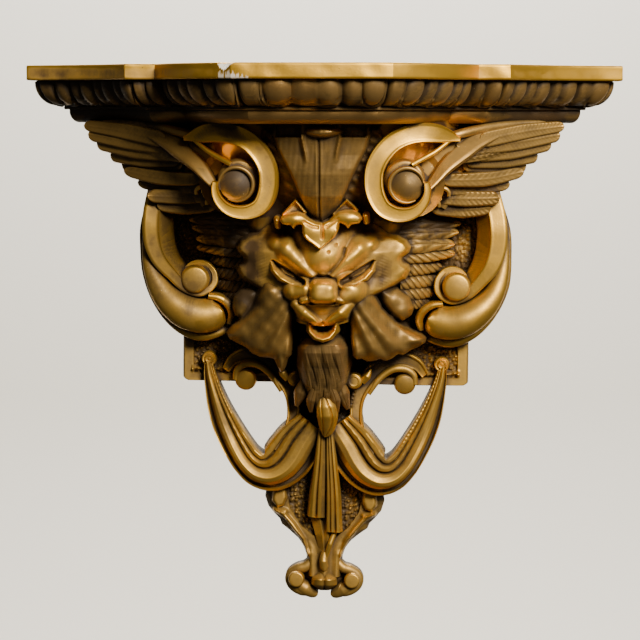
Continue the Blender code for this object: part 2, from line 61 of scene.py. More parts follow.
EAR_WIDTH = 0.023
FRONT_HALF = 0.052
FRONT_BOW = 0.002
BOARD_THICK = 0.0115
BOARD_EDGE = 0.0014
BOARD_OVERHANG = 0.0075
OVOLO = 0.0195
FILLET_HIGH = 0.0025
FILLET_STEP = 0.0035
COVE_GAP = 0.0015
COVE_OUT = 0.011
COVE_HIGH = 0.0085
SHELF_HIGH = BOARD_THICK + OVOLO + FILLET_HIGH + COVE_GAP + COVE_HIGH
EGG_PITCH = 0.0306
CHIP_AT = -0.0665
pieces = []


def held(value):
    """A value kept between 0 and 1."""
    return np.clip(value, 0, 1)


def swell(off, wide, power=2):
    """A bell curve: e to the minus (off / wide) ** power."""
    return np.exp(-(off / wide) ** power)


def smooth_path(points, count):
    """Even points along a Catmull-Rom curve: each span is the cubic through its ends with the
    slopes of the chords beside them, and the curve is then walked in equal steps."""
    given = np.array(points, float)
    ends = np.vstack([2 * given[0] - given[1], given, 2 * given[-1] - given[-2]])
    t = np.linspace(0.0, 1.0, 16, endpoint=False)[:, None]
    spans = [0.5 * (2 * b + (c - a) * t + (2 * a - 5 * b + 4 * c - d) * t ** 2 + (3 * b - a - 3 * c + d)
                    * t ** 3) for a, b, c, d in zip(ends[:-3], ends[1:-2], ends[2:-1], ends[3:])]
    dense = np.vstack([*spans, given[-1:]])
    walked = np.r_[0.0, np.cumsum(np.linalg.norm(np.diff(dense, axis=0), axis=1))]
    even = np.linspace(0.0, walked[-1], count)
    return np.column_stack([np.interp(even, walked, dense[:, k]) for k in range(dense.shape[1])])


def turned_arc(start, end, first, last, count):
    """Points from start to end whose heading turns evenly from one angle to the other, in degrees:
    the headings' unit steps are added up and stretched to reach the end."""
    heading = np.radians(np.linspace(first, last, 60))
    run = np.vstack([(0.0, 0.0), np.cumsum(np.column_stack([-np.cos(heading), np.sin(heading)]), axis=0)])
    picks = np.linspace(0, 60, count).round().astype(int)
    return np.array(start) + (run / run[-1])[picks] * (np.array(end) - np.array(start))


def mitred(outline):
    """For each corner, the step that moves it in by one: the sum of the two edges' normals
    over one plus their dot product."""
    step = np.diff(outline, axis=0)
    step /= np.linalg.norm(step, axis=1)[:, None]
    normal = np.column_stack([-step[:, 1], step[:, 0]])
    before, after = np.vstack([normal[:1], normal]), np.vstack([normal, normal[-1:]])
    return (before + after) / (1 + np.sum(before * after, axis=1))[:, None]


# Each part's back stands this far in front of the last one's, counted by the list of backs.
HAIR = 0.00002
backs = []
SHARP_ANGLE = math.radians(48.0)


def tube(rings):
    """A closed solid through rings of an even number of points: quads between neighbours, and a
    ladder of quads over either end. Returns points and quads with the faces turned outwards."""
    rows, sides = rings.shape[:2]
    index = np.arange(rows * sides).reshape(rows, sides)
    wrapped = np.roll(index, -1, axis=1)
    skin = np.stack([index[:-1], wrapped[:-1], wrapped[1:], index[1:]], -1).reshape(-1, 4)
    k = np.arange(sides // 2 - 1)
    rungs = np.stack([k, k + 1, sides - 2 - k, sides - 1 - k], -1)
    quads = np.vstack([skin, rungs[:, ::-1], rungs + (rows - 1) * sides])
    points = rings.reshape(-1, 3)
    a, b, c, d = (points[quads[:, i]] for i in range(4))
    volume = np.sum(np.cross(c - a, d - b) * (a + b + c + d))
    return points, quads if volume > 0 else quads[:, ::-1]


def cast(name, parts, finish, bare=None):
    """A piece from closed parts in metres, smooth save where faces meet sharply. Each part's back is
    set a hair in front of the last one's, so that no two backs share a plane. The piece rides on
    the root body and stands for the solid."""
    for points, _ in parts:
        points[:, 1] = np.where(points[:, 1] > -1e-6, -HAIR * len(backs), points[:, 1])
        backs.append(name)
    starts = np.cumsum([0] + [len(p) for p, _ in parts[:-1]])
    points = np.clip(np.vstack([p for p, _ in parts]), solid_low, solid_high)
    quads = np.vstack([q + s for (_, q), s in zip(parts, starts)])
    mesh = bpy.data.meshes.new(name)
    mesh.vertices.add(len(points))
    mesh.vertices.foreach_set("co", points.astype(np.float32).ravel())
    mesh.loops.add(quads.size)
    mesh.loops.foreach_set("vertex_index", quads.astype(np.int32).ravel())
    mesh.polygons.add(len(quads))
    mesh.polygons.foreach_set("loop_start", np.arange(0, quads.size, 4, dtype=np.int32))
    mesh.update(calc_edges=True)
    mesh.polygons.foreach_set("use_smooth", np.ones(len(quads), bool))
    mesh.set_sharp_from_angle(angle=SHARP_ANGLE)
    if bare is not None:
        mesh.attributes.new("bare_plaster", "FLOAT", "POINT").data.foreach_set("value",
                bare.astype(np.float32))
    made = bpy.data.objects.new(name, mesh)
    bpy.context.scene.collection.objects.link(made)
    mesh.materials.append(finish)
    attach(made, "root")
    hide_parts("bracket")
    pieces.append(made)
    return made


def wired(tree, kind, **values):
    """A shader node with its plain values set, laid out eight to a row."""
    node = tree.nodes.new(kind)
    count = len(tree.nodes)
    node.location = (240 * (count % 8), -320 * (count // 8))
    for key, value in values.items():
        if key in node.inputs:
            node.inputs[key].default_value = value
        else:
            setattr(node, key, value)
    return node


def mixed(tree, kind, factor, a, b):
    """A mix node's result. Its factor and both its sides are linked, or set where they are plain."""
    node = wired(tree, "ShaderNodeMix", data_type=kind)
    for socket, value in (("Factor", factor), ("A", a), ("B", b)):
        if isinstance(value, (float, tuple)):
            node.inputs[socket].default_value = value
        else:
            tree.links.new(value, node.inputs[socket])
    return node.outputs["Result"]


def gilding_group():
    """Worn bronze gilding: its colour runs from umber in the hollows to rubbed gold on what stands
    proud, by the per-point attribute of wear and painted shade, plus noise. Fine dark freckles and
    pale flecks lie over it."""
    group = bpy.data.node_groups.new("worn_gilding", "ShaderNodeTree")
    face = group.interface
    for names, way, kind in ((("Gold", "Bronze", "Umber"), "INPUT", "Color"),
                             (("Wear_and_shade", "Freckles"), "INPUT", "Float"), (("Color",), "OUTPUT", "Color"),
                             (("Roughness", "Metallic", "Height"), "OUTPUT", "Float")):
        for name in names:
            face.new_socket(name=name, in_out=way, socket_type="NodeSocket" + kind)
    given = wired(group, "NodeGroupInput").outputs
    out = wired(group, "NodeGroupOutput").inputs
    link = group.links.new

    def sums(operation, a, b, clamp=False):
        """A sum, difference or product of two values, each a number or another node's output."""
        node = wired(group, "ShaderNodeMath", operation=operation, use_clamp=clamp)
        for socket, value in zip(node.inputs, (a, b)):
            if isinstance(value, float):
                socket.default_value = value
            else:
                link(value, socket)
        return node.outputs[0]

    def ramp(source, *stops):
        """A value read off straight runs between the stops, each a place and a grey level."""
        node = wired(group, "ShaderNodeValToRGB")
        ends = zip(node.color_ramp.elements, (stops[0], stops[-1]))
        for element, (at, value) in ends:
            element.position, element.color = at, (value, value, value, 1)
        for at, value in stops[1:-1]:
            node.color_ramp.elements.new(at).color = (value, value, value, 1)
        link(source, node.inputs[0])
        return node.outputs[0]

    spot = wired(group, "ShaderNodeTexCoord").outputs["Object"]
    # The attribute read here holds the wear, and painted shade on the left side and under the wings.
    proud = wired(group, "ShaderNodeAttribute", attribute_name="wear_and_shade").outputs["Fac"]

    def noise(scale, detail, rough):
        """Cloudy noise over the object's own space."""
        node = wired(group, "ShaderNodeTexNoise", Scale=scale, Detail=detail, Roughness=rough)
        link(spot, node.inputs["Vector"])
        return node.outputs["Fac"]

    def cells(scale, near, far):
        """Round dots, one in each cell of the object's own space, fading between two distances."""
        node = wired(group, "ShaderNodeTexVoronoi", feature="F1", Scale=scale, Randomness=1.0)
        link(spot, node.inputs["Vector"])
        return ramp(node.outputs["Distance"], (near, 1.0), (far, 0.0))

    cloud, patch, grain = noise(22.0, 4.0, 0.55), noise(85.0, 5.0, 0.62), noise(900.0, 3.0, 0.6)
    level = sums("ADD", proud, given["Wear_and_shade"])
    for blotches, strength in ((cloud, 0.55), (patch, 0.5)):
        level = sums("ADD", level, sums("MULTIPLY", sums("SUBTRACT", blotches, 0.5), strength))
    fleck = sums("MULTIPLY", cells(330.0, 0.07, 0.14), ramp(patch, (0.56, 0.0), (0.64, 1.0)))
    fleck = sums("MULTIPLY", fleck, given["Freckles"], clamp=True)
    pit = sums("MULTIPLY", cells(150.0, 0.035, 0.07), ramp(cloud, (0.55, 0.0), (0.6, 1.0)))
    colour = mixed(group, "RGBA", ramp(level, (0.18, 0.0), (0.52, 1.0)), given["Umber"], given["Bronze"])
    colour = mixed(group, "RGBA", ramp(level, (0.45, 0.0), (0.85, 1.0)), colour, given["Gold"])
    colour = mixed(group, "RGBA", fleck, colour, (0.75, 0.55, 0.27, 1))
    link(mixed(group, "RGBA", pit, colour, (0.02, 0.012, 0.006, 1)), out["Color"])
    speckle = sums("MULTIPLY", sums("SUBTRACT", grain, 0.5), 0.3)
    link(sums("ADD", ramp(level, (0.15, 0.64), (0.5, 0.52), (0.9, 0.44)), speckle), out["Roughness"])
    bright = ramp(level, (0.15, 0.05), (0.45, 0.5), (0.85, 0.88))
    link(sums("MULTIPLY", bright, sums("SUBTRACT", 1.0, pit)), out["Metallic"])
    lumps = sums("ADD", sums("MULTIPLY", patch, 0.6), sums("MULTIPLY", grain, 0.22))
    lumps = sums("ADD", lumps, sums("MULTIPLY", fleck, 0.35))
    link(sums("SUBTRACT", lumps, sums("MULTIPLY", pit, 1.2)), out["Height"])
    return group


worn_gilding = gilding_group()


def gilding(name, gold, bronze, umber, wear_and_shade=0.0, freckles=0.5, lumps=0.00035, white=False):
    """One finish: the gilding group with this piece's own colours. Where the plaster is bare, a
    chalky white shows instead of the gold."""
    finish = bpy.data.materials.new(name)
    finish.use_nodes = True
    tree = finish.node_tree
    shader = tree.nodes["Principled BSDF"]
    leaf = wired(tree, "ShaderNodeGroup", node_tree=worn_gilding)
    for socket, value in (("Gold", (*gold, 1.0)), ("Bronze", (*bronze, 1.0)), ("Umber", (*umber, 1.0)),
                          ("Wear_and_shade", wear_and_shade), ("Freckles", freckles)):
        leaf.inputs[socket].default_value = value
    bump = wired(tree, "ShaderNodeBump", Strength=0.7, Distance=lumps)
    tree.links.new(leaf.outputs["Height"], bump.inputs["Height"])
    colour, rough, metal = (leaf.outputs[k] for k in ("Color", "Roughness", "Metallic"))
    if white:
        shown = wired(tree, "ShaderNodeAttribute", attribute_name="bare_plaster").outputs["Fac"]
        colour = mixed(tree, "RGBA", shown, colour, (0.72, 0.69, 0.62, 1))
        rough = mixed(tree, "FLOAT", shown, rough, 0.9)
        metal = mixed(tree, "FLOAT", shown, metal, 0.0)
    for socket, value in (("Base Color", colour), ("Roughness", rough), ("Metallic", metal),
                          ("Normal", bump.outputs["Normal"])):
        tree.links.new(value, shader.inputs[socket])
    return finish


# The half plan's stretches from the wall to the middle: each one's corners and its count of points.
ear = EAR_INNER + EAR_WIDTH
stretches = (
    (np.array([(SHELF_HALF, 0.0), (SHELF_HALF, END_RETURN)]), 30),
    (turned_arc((SHELF_HALF, END_RETURN), (ear, EAR_DEPTH), 24.0, 55.0, 7), 130),
    (np.array([(ear, EAR_DEPTH), (EAR_INNER, EAR_DEPTH)]), 40),
    (turned_arc((EAR_INNER, EAR_DEPTH), (FRONT_HALF, SHELF_DEEP - FRONT_BOW), 68.0, 34.0, 7), 130),
    (np.array([(FRONT_HALF * (1 - s), SHELF_DEEP - FRONT_BOW * (1 - s) ** 2)
               for s in (0, 1 / 3, 2 / 3, 1)]), 70),
)


def shelf_run():
    """The half plan as dense points, the step that moves each in by one metre, and where each lies
    among the eggs: whole numbers are the grooves between them. The front stretch is half of the
    bow, so its eggs are counted over both halves."""
    corners = np.vstack([stretches[0][0]] + [s[1:] for s, _ in stretches[1:]])
    steps = mitred(corners)
    outline, inward, beat, first = [], [], [], 0
    for number, (stretch, count) in enumerate(stretches):
        front = number == len(stretches) - 1
        halves = 2 if front else 1
        rows = slice(first, first + len(stretch))
        both = np.column_stack([corners[rows], steps[rows]])
        dense = smooth_path(both, count)[:(count if front else count - 1)]
        middle = dense[:, :2] + dense[:, 2:] * (BOARD_OVERHANG + OVOLO * 0.3)
        walked = np.r_[0.0, np.cumsum(np.linalg.norm(np.diff(middle, axis=0), axis=1))]
        eggs = max(1.0, round(walked[-1] * halves / EGG_PITCH))
        outline.append(dense[:, :2])
        inward.append(dense[:, 2:])
        beat.append(walked / walked[-1] * eggs / halves)
        first += len(stretch) - 1
    return np.vstack(outline), np.vstack(inward), np.concatenate(beat)


half_line, half_step, half_beat = shelf_run()
flip = (-1.0, 1.0)
plan_line = np.vstack([half_line, half_line[-2::-1] * flip, half_line[:1] * flip])
plan_step = np.vstack([half_step, half_step[-2::-1] * flip, half_step[:1] * flip])
plan_beat = np.concatenate([half_beat, half_beat[-2::-1], half_beat[:1]])
plan_side = np.where(np.arange(len(plan_line)) < len(half_line), 1.0, -1.0)
# The left half's corners stand up to a centimetre further out than those of the right half.
plan_line[:, 0] += np.interp(plan_line[:, 0], (-0.2, -0.138, -0.115, -0.052, 0.0),
                             (0.0, -0.006, -0.007, -0.010, 0.0))


def shelf_ring(drop, inward):
    """The plan moved in and down: x and depth from the outline plus its inward step, height from
    the shelf's top. Both distances may vary along the ring."""
    at = plan_line + plan_step * np.broadcast_to(inward, len(plan_line))[:, None]
    return np.column_stack([at[:, 0], -at[:, 1], SHELF_TOP - np.broadcast_to(drop, len(plan_line))])


def wobble(x, z, pitch, seed):
    """Soft unevenness between -1 and 1: four sines of unrelated headings, multiplied in pairs."""
    a, b = np.sin(x / pitch + seed), np.sin(z / pitch * 1.3 + seed * 2.1)
    c, d = np.sin((x + z) / pitch * 0.7 + seed * 3.7), np.sin((x - z) / pitch * 1.9 + seed * 5.3)
    return 0.5 * (a * b + c * d)


def board_rings():
    """Top, rounded edges and fascia of the board, and where the plaster is bare. The chip lowers and
    pushes in the top edge. Under it the gilding is scraped off below a ragged line. The fascia
    waves by a fraction of a millimetre, as a hand-finished casting does."""
    e, t = BOARD_EDGE, BOARD_THICK
    profile = [(0.0, 0.016), (0.0, 0.011), (0.0, 0.007), (0.0, 0.004), (0.0, 0.0025), (0.0, e),
               (e * 0.12, e * 0.5), (e * 0.5, e * 0.12), (e, 0.0),
               *[(0.0022 + 0.0008 * k, 0.0) for k in range(10)], (t - e, 0.0), (t - e * 0.5, e * 0.12),
               (t - e * 0.12, e * 0.5), (t, e), (t, 0.004), (t, BOARD_OVERHANG + 0.004)]
    rings, bare = [], []
    x = plan_line[:, 0]
    front = plan_line[:, 1] > EAR_DEPTH
    for drop, inward in profile:
        off = x - CHIP_AT
        notch = np.interp(off, (-0.0058, -0.0035, -0.0012, 0.0005, 0.004, 0.0075),
                          (0, 0.0035, 0.0052, 0.0050, 0.0018, 0))
        deep = notch * front * held(1.15 - inward / 0.008)
        bite = deep * (1 + 0.12 * np.sin(x * 4100))
        sunk = np.maximum(drop, bite)
        wave = 0.00045 * wobble(x * 1000, drop * 1000, 7.0, 1.0)
        pushed = inward + held(bite - drop) * 0.6 + (wave if drop < t else 0.0)
        ragged = 0.0012 * np.sin(x * 1900) + 0.0008 * np.sin(x * 4700)
        top = (np.interp(x, (-0.072, -0.066, -0.0645, -0.058, -0.048),
                         (0.0075, 0.0072, 0.0065, 0.0088, 0.0112)) + ragged)
        scrape = ((x > -0.071) & (x < -0.0475) & (np.abs(x + 0.0667) > 0.0006) & front & (drop > top)
                  & (inward < 0.003))
        rings.append(shelf_ring(sunk, pushed))
        bare.append(np.where((bite > drop - 0.0002) & (deep > 0.0008), 1.0, scrape * 0.8))
    return np.array(rings), np.concatenate(bare)


def egg_relief(beat, v):
    """One unit's relief in metres. The egg is a half ellipsoid high in the band, inside two husk
    rings; a blunt dart fills the rest, and a sharp groove parts the units."""
    f = np.mod(beat, 1.0)
    f = np.where(plan_side > 0, 1 - f, f)
    r = np.sqrt(((f - 0.70) / 0.235) ** 2 + ((v - 0.24) / 0.56) ** 2)
    egg = 0.0036 * np.sqrt(held(1 - r ** 2))
    husk = 0.0017 * swell(r - 1.24, 0.10) + 0.0012 * swell(r - 1.52, 0.08) + 0.0008 * swell(r - 1.76, 0.07)
    dart = 0.0024 * held(1 - (np.abs(f - 0.22) / 0.17) ** 4) * held(1.35 - 1.3 * v)
    groove = 0.0036 * swell(np.minimum(f, 1 - f), 0.028) + 0.0014 * swell(f - 0.425, 0.02) * (v < 0.5)
    return ((np.maximum(egg, np.maximum(husk, dart)) - groove) * held((1.04 - v) / 0.1)
            * held(v / 0.03 + 0.4))


def ovolo_rings():
    """The quarter round: a circle's arc from under the board to the fillet, swelled by the eggs."""
    rings = [shelf_ring(BOARD_THICK - 0.003, BOARD_OVERHANG + OVOLO),
             shelf_ring(BOARD_THICK - 0.003, BOARD_OVERHANG + 0.001)]
    for share in np.linspace(0.0, 1.0, 32):
        angle = math.pi / 2 * share
        radius = OVOLO + egg_relief(plan_beat, share) - 0.0008
        rings.append(shelf_ring(BOARD_THICK + radius * math.sin(angle), BOARD_OVERHANG + OVOLO
                                - radius * math.cos(angle)))
    rings.append(shelf_ring(BOARD_THICK + OVOLO + 0.001, BOARD_OVERHANG + OVOLO + 0.002))
    return np.array(rings)


def cove_rings():
    """Fillet, step and hollow cove under the eggs."""
    drop, out = BOARD_THICK + OVOLO, BOARD_OVERHANG + OVOLO
    x = plan_line[:, 0] * 1000
    dent = 0.0004 * wobble(x, x * 0.3, 6.0, 3.0)
    rings = [shelf_ring(drop - 0.002, out + 0.006), shelf_ring(drop - 0.0006, out + 0.0006 + dent),
             shelf_ring(drop + 0.0004, out - 0.0004 + dent),
             shelf_ring(drop + FILLET_HIGH - 0.0005, out - 0.0003 + dent),
             shelf_ring(drop + FILLET_HIGH, out + 0.0004 + dent),
             shelf_ring(drop + FILLET_HIGH, out + FILLET_STEP)]
    drop, out = drop + FILLET_HIGH + COVE_GAP, out + FILLET_STEP
    for angle in np.linspace(0.0, math.pi / 2, 11):
        rings.append(shelf_ring(drop + COVE_HIGH * math.sin(angle), out + COVE_OUT * (1 - math.cos(angle))
                                + dent * 0.4))
    return np.array(rings)


fascia_gilt = gilding("gilding_fascia", (0.88, 0.495, 0.05), (0.7, 0.405, 0.085), (0.11, 0.064, 0.026),
                      wear_and_shade=0.11, white=True)
# Painted shade: the eggs and the cove take a darker copy of the fascia's gilding, as they face down.
egg_shaded_gilt = gilding("gilding_eggs_shaded", (0.46, 0.266, 0.085), (0.21, 0.125, 0.036), (0.05, 0.028, 0.009),
                   wear_and_shade=-0.1)
board, bare = board_rings()
cast("shelf_board", [tube(board)], fascia_gilt, bare)
cast("shelf_eggs", [tube(ovolo_rings())], egg_shaded_gilt)
cast("shelf_cove", [tube(cove_rings())], egg_shaded_gilt)

# The back plate
# A flat slab against the wall with rounded flanks above a square-cornered field. Its ground was
# punched all over with a round tool, and a plain border is left round the lower field.
CARVING_HIGH = 0.3687
UNIT = CARVING_HIGH / 365.0
BED_LINE = 16.5
BED = SHELF_TOP - SHELF_HIGH
TUCK = 5.5


def placed(points):
    """Carver's (x, depth, height) in metres, hung from the underside of the shelf."""
    return np.stack([points[..., 0] * UNIT, -points[..., 1] * UNIT, (points[..., 2] - BED_LINE) * UNIT
                     + BED], -1)


def settled(points, side=1.0):
    """Placed, with the casting's lean: low parts on the right sit lower than on the left, and the
    middle is drawn to the right around the nose."""
    x, d, z = points[..., 0] * side, points[..., 1], points[..., 2]
    lean = np.interp(-z, (10, 40, 104, 150, 200, 265, 290, 345), (0, 0.5, 3.0, 2.2, 1.5, 2.2, 2.6, 0.6))
    drawn = np.interp(-z, (30, 60, 105, 150, 220, 345), (0.0, 1.0, 2.0, 1.5, 1.0, 0.6))
    return placed(np.stack([x + drawn, d, z - lean * np.tanh(x / 45.0)], -1))


def both_sides(rings):
    """The right-hand solid and its mirror twin on the left, settled."""
    return [tube(settled(rings)), tube(settled(rings, -1.0))]


def eased(values, count):
    """Values spread evenly along a path, joined by straight runs and softened at the joints."""
    plain = np.interp(np.linspace(0.0, 1.0, count), np.linspace(0.0, 1.0, len(np.atleast_1d(values))),
                      np.atleast_1d(values))
    wide = max(1, count // 24)
    padded = np.pad(plain, wide, mode="edge")
    return np.convolve(padded, np.ones(2 * wide + 1) / (2 * wide + 1), mode="valid")


def walled(front, floor=0.0):
    """Rings round a relief: each row of front points, with a point dropped to the floor at either end."""
    left, right = front[:, :1].copy(), front[:, -1:].copy()
    left[..., 1], right[..., 1] = floor, floor
    return np.concatenate([left, front, right], axis=1)


def grains(x, z, pitch, high, seed):
    """Punch marks: every cell of a square net holds one round grain at a jittered place, and the
    height is that of the nearest grain, high times exp(-(distance / 0.42 pitch) ** 2)."""
    rng = np.random.default_rng(seed)
    jitter = rng.uniform(-0.45, 0.45, (256, 256, 2))
    cx, cz = np.floor(x / pitch).astype(int), np.floor(z / pitch).astype(int)
    nearest = np.full(x.shape, 1e9)
    for i in (-1, 0, 1):
        for k in (-1, 0, 1):
            j = jitter[(cx + i) % 256, (cz + k) % 256]
            px, pz = (cx + i + 0.5 + j[..., 0]) * pitch, (cz + k + 0.5 + j[..., 1]) * pitch
            nearest = np.minimum(nearest, (x - px) ** 2 + (z - pz) ** 2)
    return high * np.exp(-nearest / (0.42 * pitch) ** 2)


def plate_relief():
    """Rows run down the plate and columns across it. The half width follows the flank's curve and
    then the field's straight side; the lowest rows rise over the two openings."""
    flank = smooth_path([(118, BED_LINE + TUCK), (128, -10), (132, -33), (137.5, -58), (138.5, -76),
                         (136.5, -100), (127, -124), (109, -145)], 80)
    z = np.r_[np.linspace(BED_LINE + TUCK, -145, 160), np.linspace(-146, -181.5, 58)]
    half = np.where(z >= -145, np.interp(-z, -flank[:, 1], flank[:, 0]), 109.0)
    half = half - 3.0 * held((-178.5 - z) / 3.0) ** 2
    share = np.linspace(-1, 1, 300)
    x = half[:, None] * share
    raised = np.interp(np.abs(x), (0, 36, 39, 46, 53, 56, 110), (0, 0, 3, 7, 3, 0, 0))
    z = np.broadcast_to(z[:, None], x.shape)
    z = np.where(z < -145, -145 + (z + 145) * (1 - raised / 36.5), z)
    edge = half[:, None] - np.abs(x)
    ground = 11.5 + grains(x, z, 3.1, 3.0, 4)
    border = (z < -140) & ((np.abs(x) > 100.5) | (z < -175.5))
    front = np.where(border, 15.5, ground)
    front = front + 3.2 * swell(z + 172.5, 1.8) * (np.abs(x) > 70) * (np.abs(x) < 102) * (z < -165)
    front = front - 4.0 * held(1 - edge / 1.6) ** 2
    return np.stack([x, front, z], -1)


plate_gilt = gilding("gilding_ground", (0.7, 0.41, 0.075), (0.34, 0.2, 0.05), (0.09, 0.05, 0.0155),
                     wear_and_shade=0.1)
cast("back_plate", [tube(settled(walled(plate_relief())))], plate_gilt)

# The core behind the head
# The plaster that fills between leaf, volutes and head. It was left rough, its gilding is made
# darker as painted shade between the parts, and it is mostly hidden.


def core_relief():
    """Height falls from the middle by a parabola across and by straight runs down."""
    z = np.linspace(BED_LINE + TUCK, -130, 60)[:, None]
    x = np.linspace(-122, 122, 100)[None, :]
    high = np.interp(-z, (-18, 20, 50, 90, 130), (98, 80, 68, 46, 18))
    wide = np.interp(-z, (-18, 8, 20, 50, 90, 130), (122, 118, 96, 84, 72, 60))
    front = high * held(1.6 * (1 - (x / wide) ** 2)) + 1.2 * wobble(x, z, 4.0, 2.0)
    return np.stack([np.broadcast_to(x, front.shape), np.maximum(front, 0.5),
                     np.broadcast_to(z, front.shape)], -1)


# Painted shade: a darker gilding for the hollow between leaf, volutes and head.
core_shaded_gilt = gilding("gilding_hollows_shaded", (0.56, 0.32, 0.07), (0.27, 0.16, 0.039), (0.045, 0.022, 0.0077),
                    wear_and_shade=-0.05)
cast("core", [tube(settled(walled(core_relief())))], core_shaded_gilt)

# The volutes
# Under each side of the shelf a flat band winds in round a raised eye. A straight ridge closes
# the mouth of the spiral, and the ground between band and eye is cut deep.
EYE = np.array((64.0, -28.3))


def band(path, half, crown, fall, rows, cols, detail=None, root=0.0, tip=0.0):
    """A strip carried along a path of (x, height): across it the front falls from the crown by
    fall(u) half widths, u running from -1 to 1, and detail(t, u) adds the tooling, t running from
    0 to 1. Root and tip are the shares of the length over which an end is rounded."""
    line = smooth_path(path, rows)
    half, crown = eased(half, rows), eased(crown, rows)
    t = np.linspace(0.0, 1.0, rows)
    if root:
        half = half * np.sqrt(np.clip(1 - held(1 - t / root) ** 2, 0.0004, 1))
    if tip:
        half = half * np.sqrt(np.clip(1 - held((t - 1) / tip + 1) ** 2, 0.0004, 1))
    heading = np.gradient(line, axis=0)
    heading /= np.linalg.norm(heading, axis=1)[:, None]
    across = np.column_stack([-heading[:, 1], heading[:, 0]])
    u = np.linspace(-1.0, 1.0, cols)
    at = line[:, None] + across[:, None] * (u[None, :, None] * half[:, None, None])
    depth = crown[:, None] - half[:, None] * fall(u)[None, :]
    if detail is not None:
        depth = depth + detail(t[:, None], u[None, :])
    return walled(np.stack([at[..., 0], np.maximum(depth, 0.4), at[..., 1]], -1))


def boss(x, z, radius, crown, fall, rings=16, sides=64, slant=(0.0, 0.0)):
    """A round boss: from its middle the front falls by fall(r) radii, r running from 0 to 1. The
    slant tips it, as a rise for each unit to the right and upwards."""
    r = np.linspace(1.0, 0.02, rings)[:, None]
    turn = np.linspace(0.0, 2 * math.pi, sides, endpoint=False)[None, :]
    px, pz = x + radius * r * np.cos(turn), z + radius * r * np.sin(turn)
    depth = crown - radius * fall(r) + (px - x) * slant[0] + (pz - z) * slant[1]
    front = np.stack([px, np.broadcast_to(depth, px.shape), pz], -1)
    base = front[:1].copy()
    base[..., 1] = 0.0
    return np.concatenate([base, front])


def flat(u):
    """Level, with edges that fall by a square over the last seventh."""
    return 0.2 * held((np.abs(u) - 0.86) / 0.14) ** 2


def rounded(u):
    """A half round: one minus the root of one minus the square."""
    return 1 - np.sqrt(held(1 - 0.96 * u ** 2))


def lens(u):
    """A shallow crown: half the square."""
    return 0.5 * u ** 2


def dished(dome, lip, rim):
    """A boss's section: dome times the square, plus lip times the square of the way past the rim."""
    return lambda r: dome * r ** 2 + lip * held((r - rim) / (1 - rim)) ** 2


def volute_solids():
    """A spiral from 42 to 372 degrees about the eye. Its outside radius and its width run straight
    between the given turns, and the band's middle lies half a width inside."""
    turn = np.radians(np.linspace(42, 372, 16))
    outside = np.interp(np.degrees(turn), (42, 90, 135, 180, 225, 270, 315, 345, 372),
                        (51, 44.5, 37, 32.6, 31.6, 25.5, 19.5, 16.5, 15))
    width = np.interp(np.degrees(turn), (42, 60, 90, 200, 250, 300, 345, 372),
                      (1.5, 11, 15, 14, 13.5, 10, 6, 4))
    path = EYE + np.column_stack([np.cos(turn), np.sin(turn)]) * (outside - width / 2)[:, None]
    whorl = band(path, width / 2, [84, 99, 104, 106, 106, 106.5, 107, 107], flat, 240, 22,
                 lambda t, u: 0.9 * swell(u - 0.86, 0.1) + 0.7 * swell(u + 0.88, 0.1) - 0.35 * (1 - u ** 2))
    ridge = band([(66, -13), (80, -5.5), (86, -1.5), (98, 8)], [1.7, 1.7, 1.5, 1.2], [104, 97, 92, 86],
                 rounded, 70, 12)
    return both_sides(whorl) + both_sides(ridge)


def eye_solids():
    """The round eye in each volute: a sloping drum, a low disc and a crest that curls
    round it, over the sunk ground between eye and band."""
    drum = boss(EYE[0] - 3.5, EYE[1] + 4.5, 15.0, 98, dished(0.10, 0.2, 0.85), rings=20, sides=96)
    curl = np.radians(np.linspace(300, -20, 14))
    spiral = np.column_stack([EYE[0] - 2.0 + 12.4 * np.cos(curl), EYE[1] + 0.5 + 12.4 * np.sin(curl)])
    crest = band(spiral, [0.6, 1.1, 1.4, 1.6, 1.5, 1.2, 0.7], [100, 102.5, 104, 105, 105, 103.5, 101],
                 rounded, 120, 12)
    middle = boss(EYE[0] - 2.0, EYE[1] + 0.5, 12.0, 104.5, lambda r: 0.34 * r ** 2, rings=18, sides=72)
    pit = boss(EYE[0] + 1, EYE[1] + 2, 25, 76, lambda r: -0.2 * r ** 2, rings=10)
    web = band([(70, -22), (84, -8), (98, 7)], [15, 12, 1.5], [80, 79, 79], flat, 40, 16)
    return both_sides(drum) + both_sides(crest) + both_sides(middle) + both_sides(pit) + both_sides(web)


volute_gilt = gilding("gilding_volutes", (0.84, 0.475, 0.055), (0.4, 0.235, 0.055), (0.085, 0.046, 0.0145),
                      wear_and_shade=0.1)
cast("volutes", volute_solids(), volute_gilt)
eye_gilt = gilding("gilding_eyes", (0.46, 0.266, 0.07), (0.2, 0.118, 0.03), (0.055, 0.03, 0.0094),
                   wear_and_shade=-0.24, freckles=1.0)
cast("volute_eyes", eye_solids(), eye_gilt)

# The wings
# A rounded leading arm runs out to each corner of the shelf, and long feathers fan from it in
# three groups. The right wing's coverts are cross-cut in rows, and the left one's are smooth.


def vane(length, pitch, deep):
    """Feather tooling: barbs are a rounded saw along the length, raked back from the quill, which
    is a narrow bell curve."""
    def tooling(t, u):
        lines = 0.5 + 0.5 * np.cos(2 * math.pi * (t * length - 4.8 * np.abs(u)) / pitch)
        return deep * (lines ** 0.7 - 1) * held(np.abs(u) * 5) + 0.2 * swell(u, 0.1)
    return tooling


def shingle(u):
    """A feather's section: it stands highest along its upper edge and slopes under the one above."""
    return 0.16 * (1 - u) + 0.5 * held((u - 0.8) / 0.2) ** 2 + 0.5 * held((-u - 0.82) / 0.18) ** 2


def arm_section(u):
    """The leading arm's section: a crest near the lower edge and a long slope up and back from it."""
    return np.interp(u, (-1, -0.9, -0.72, -0.4, 0.75, 1), (1.1, 0.35, 0.0, 0.06, 0.75, 1.3))


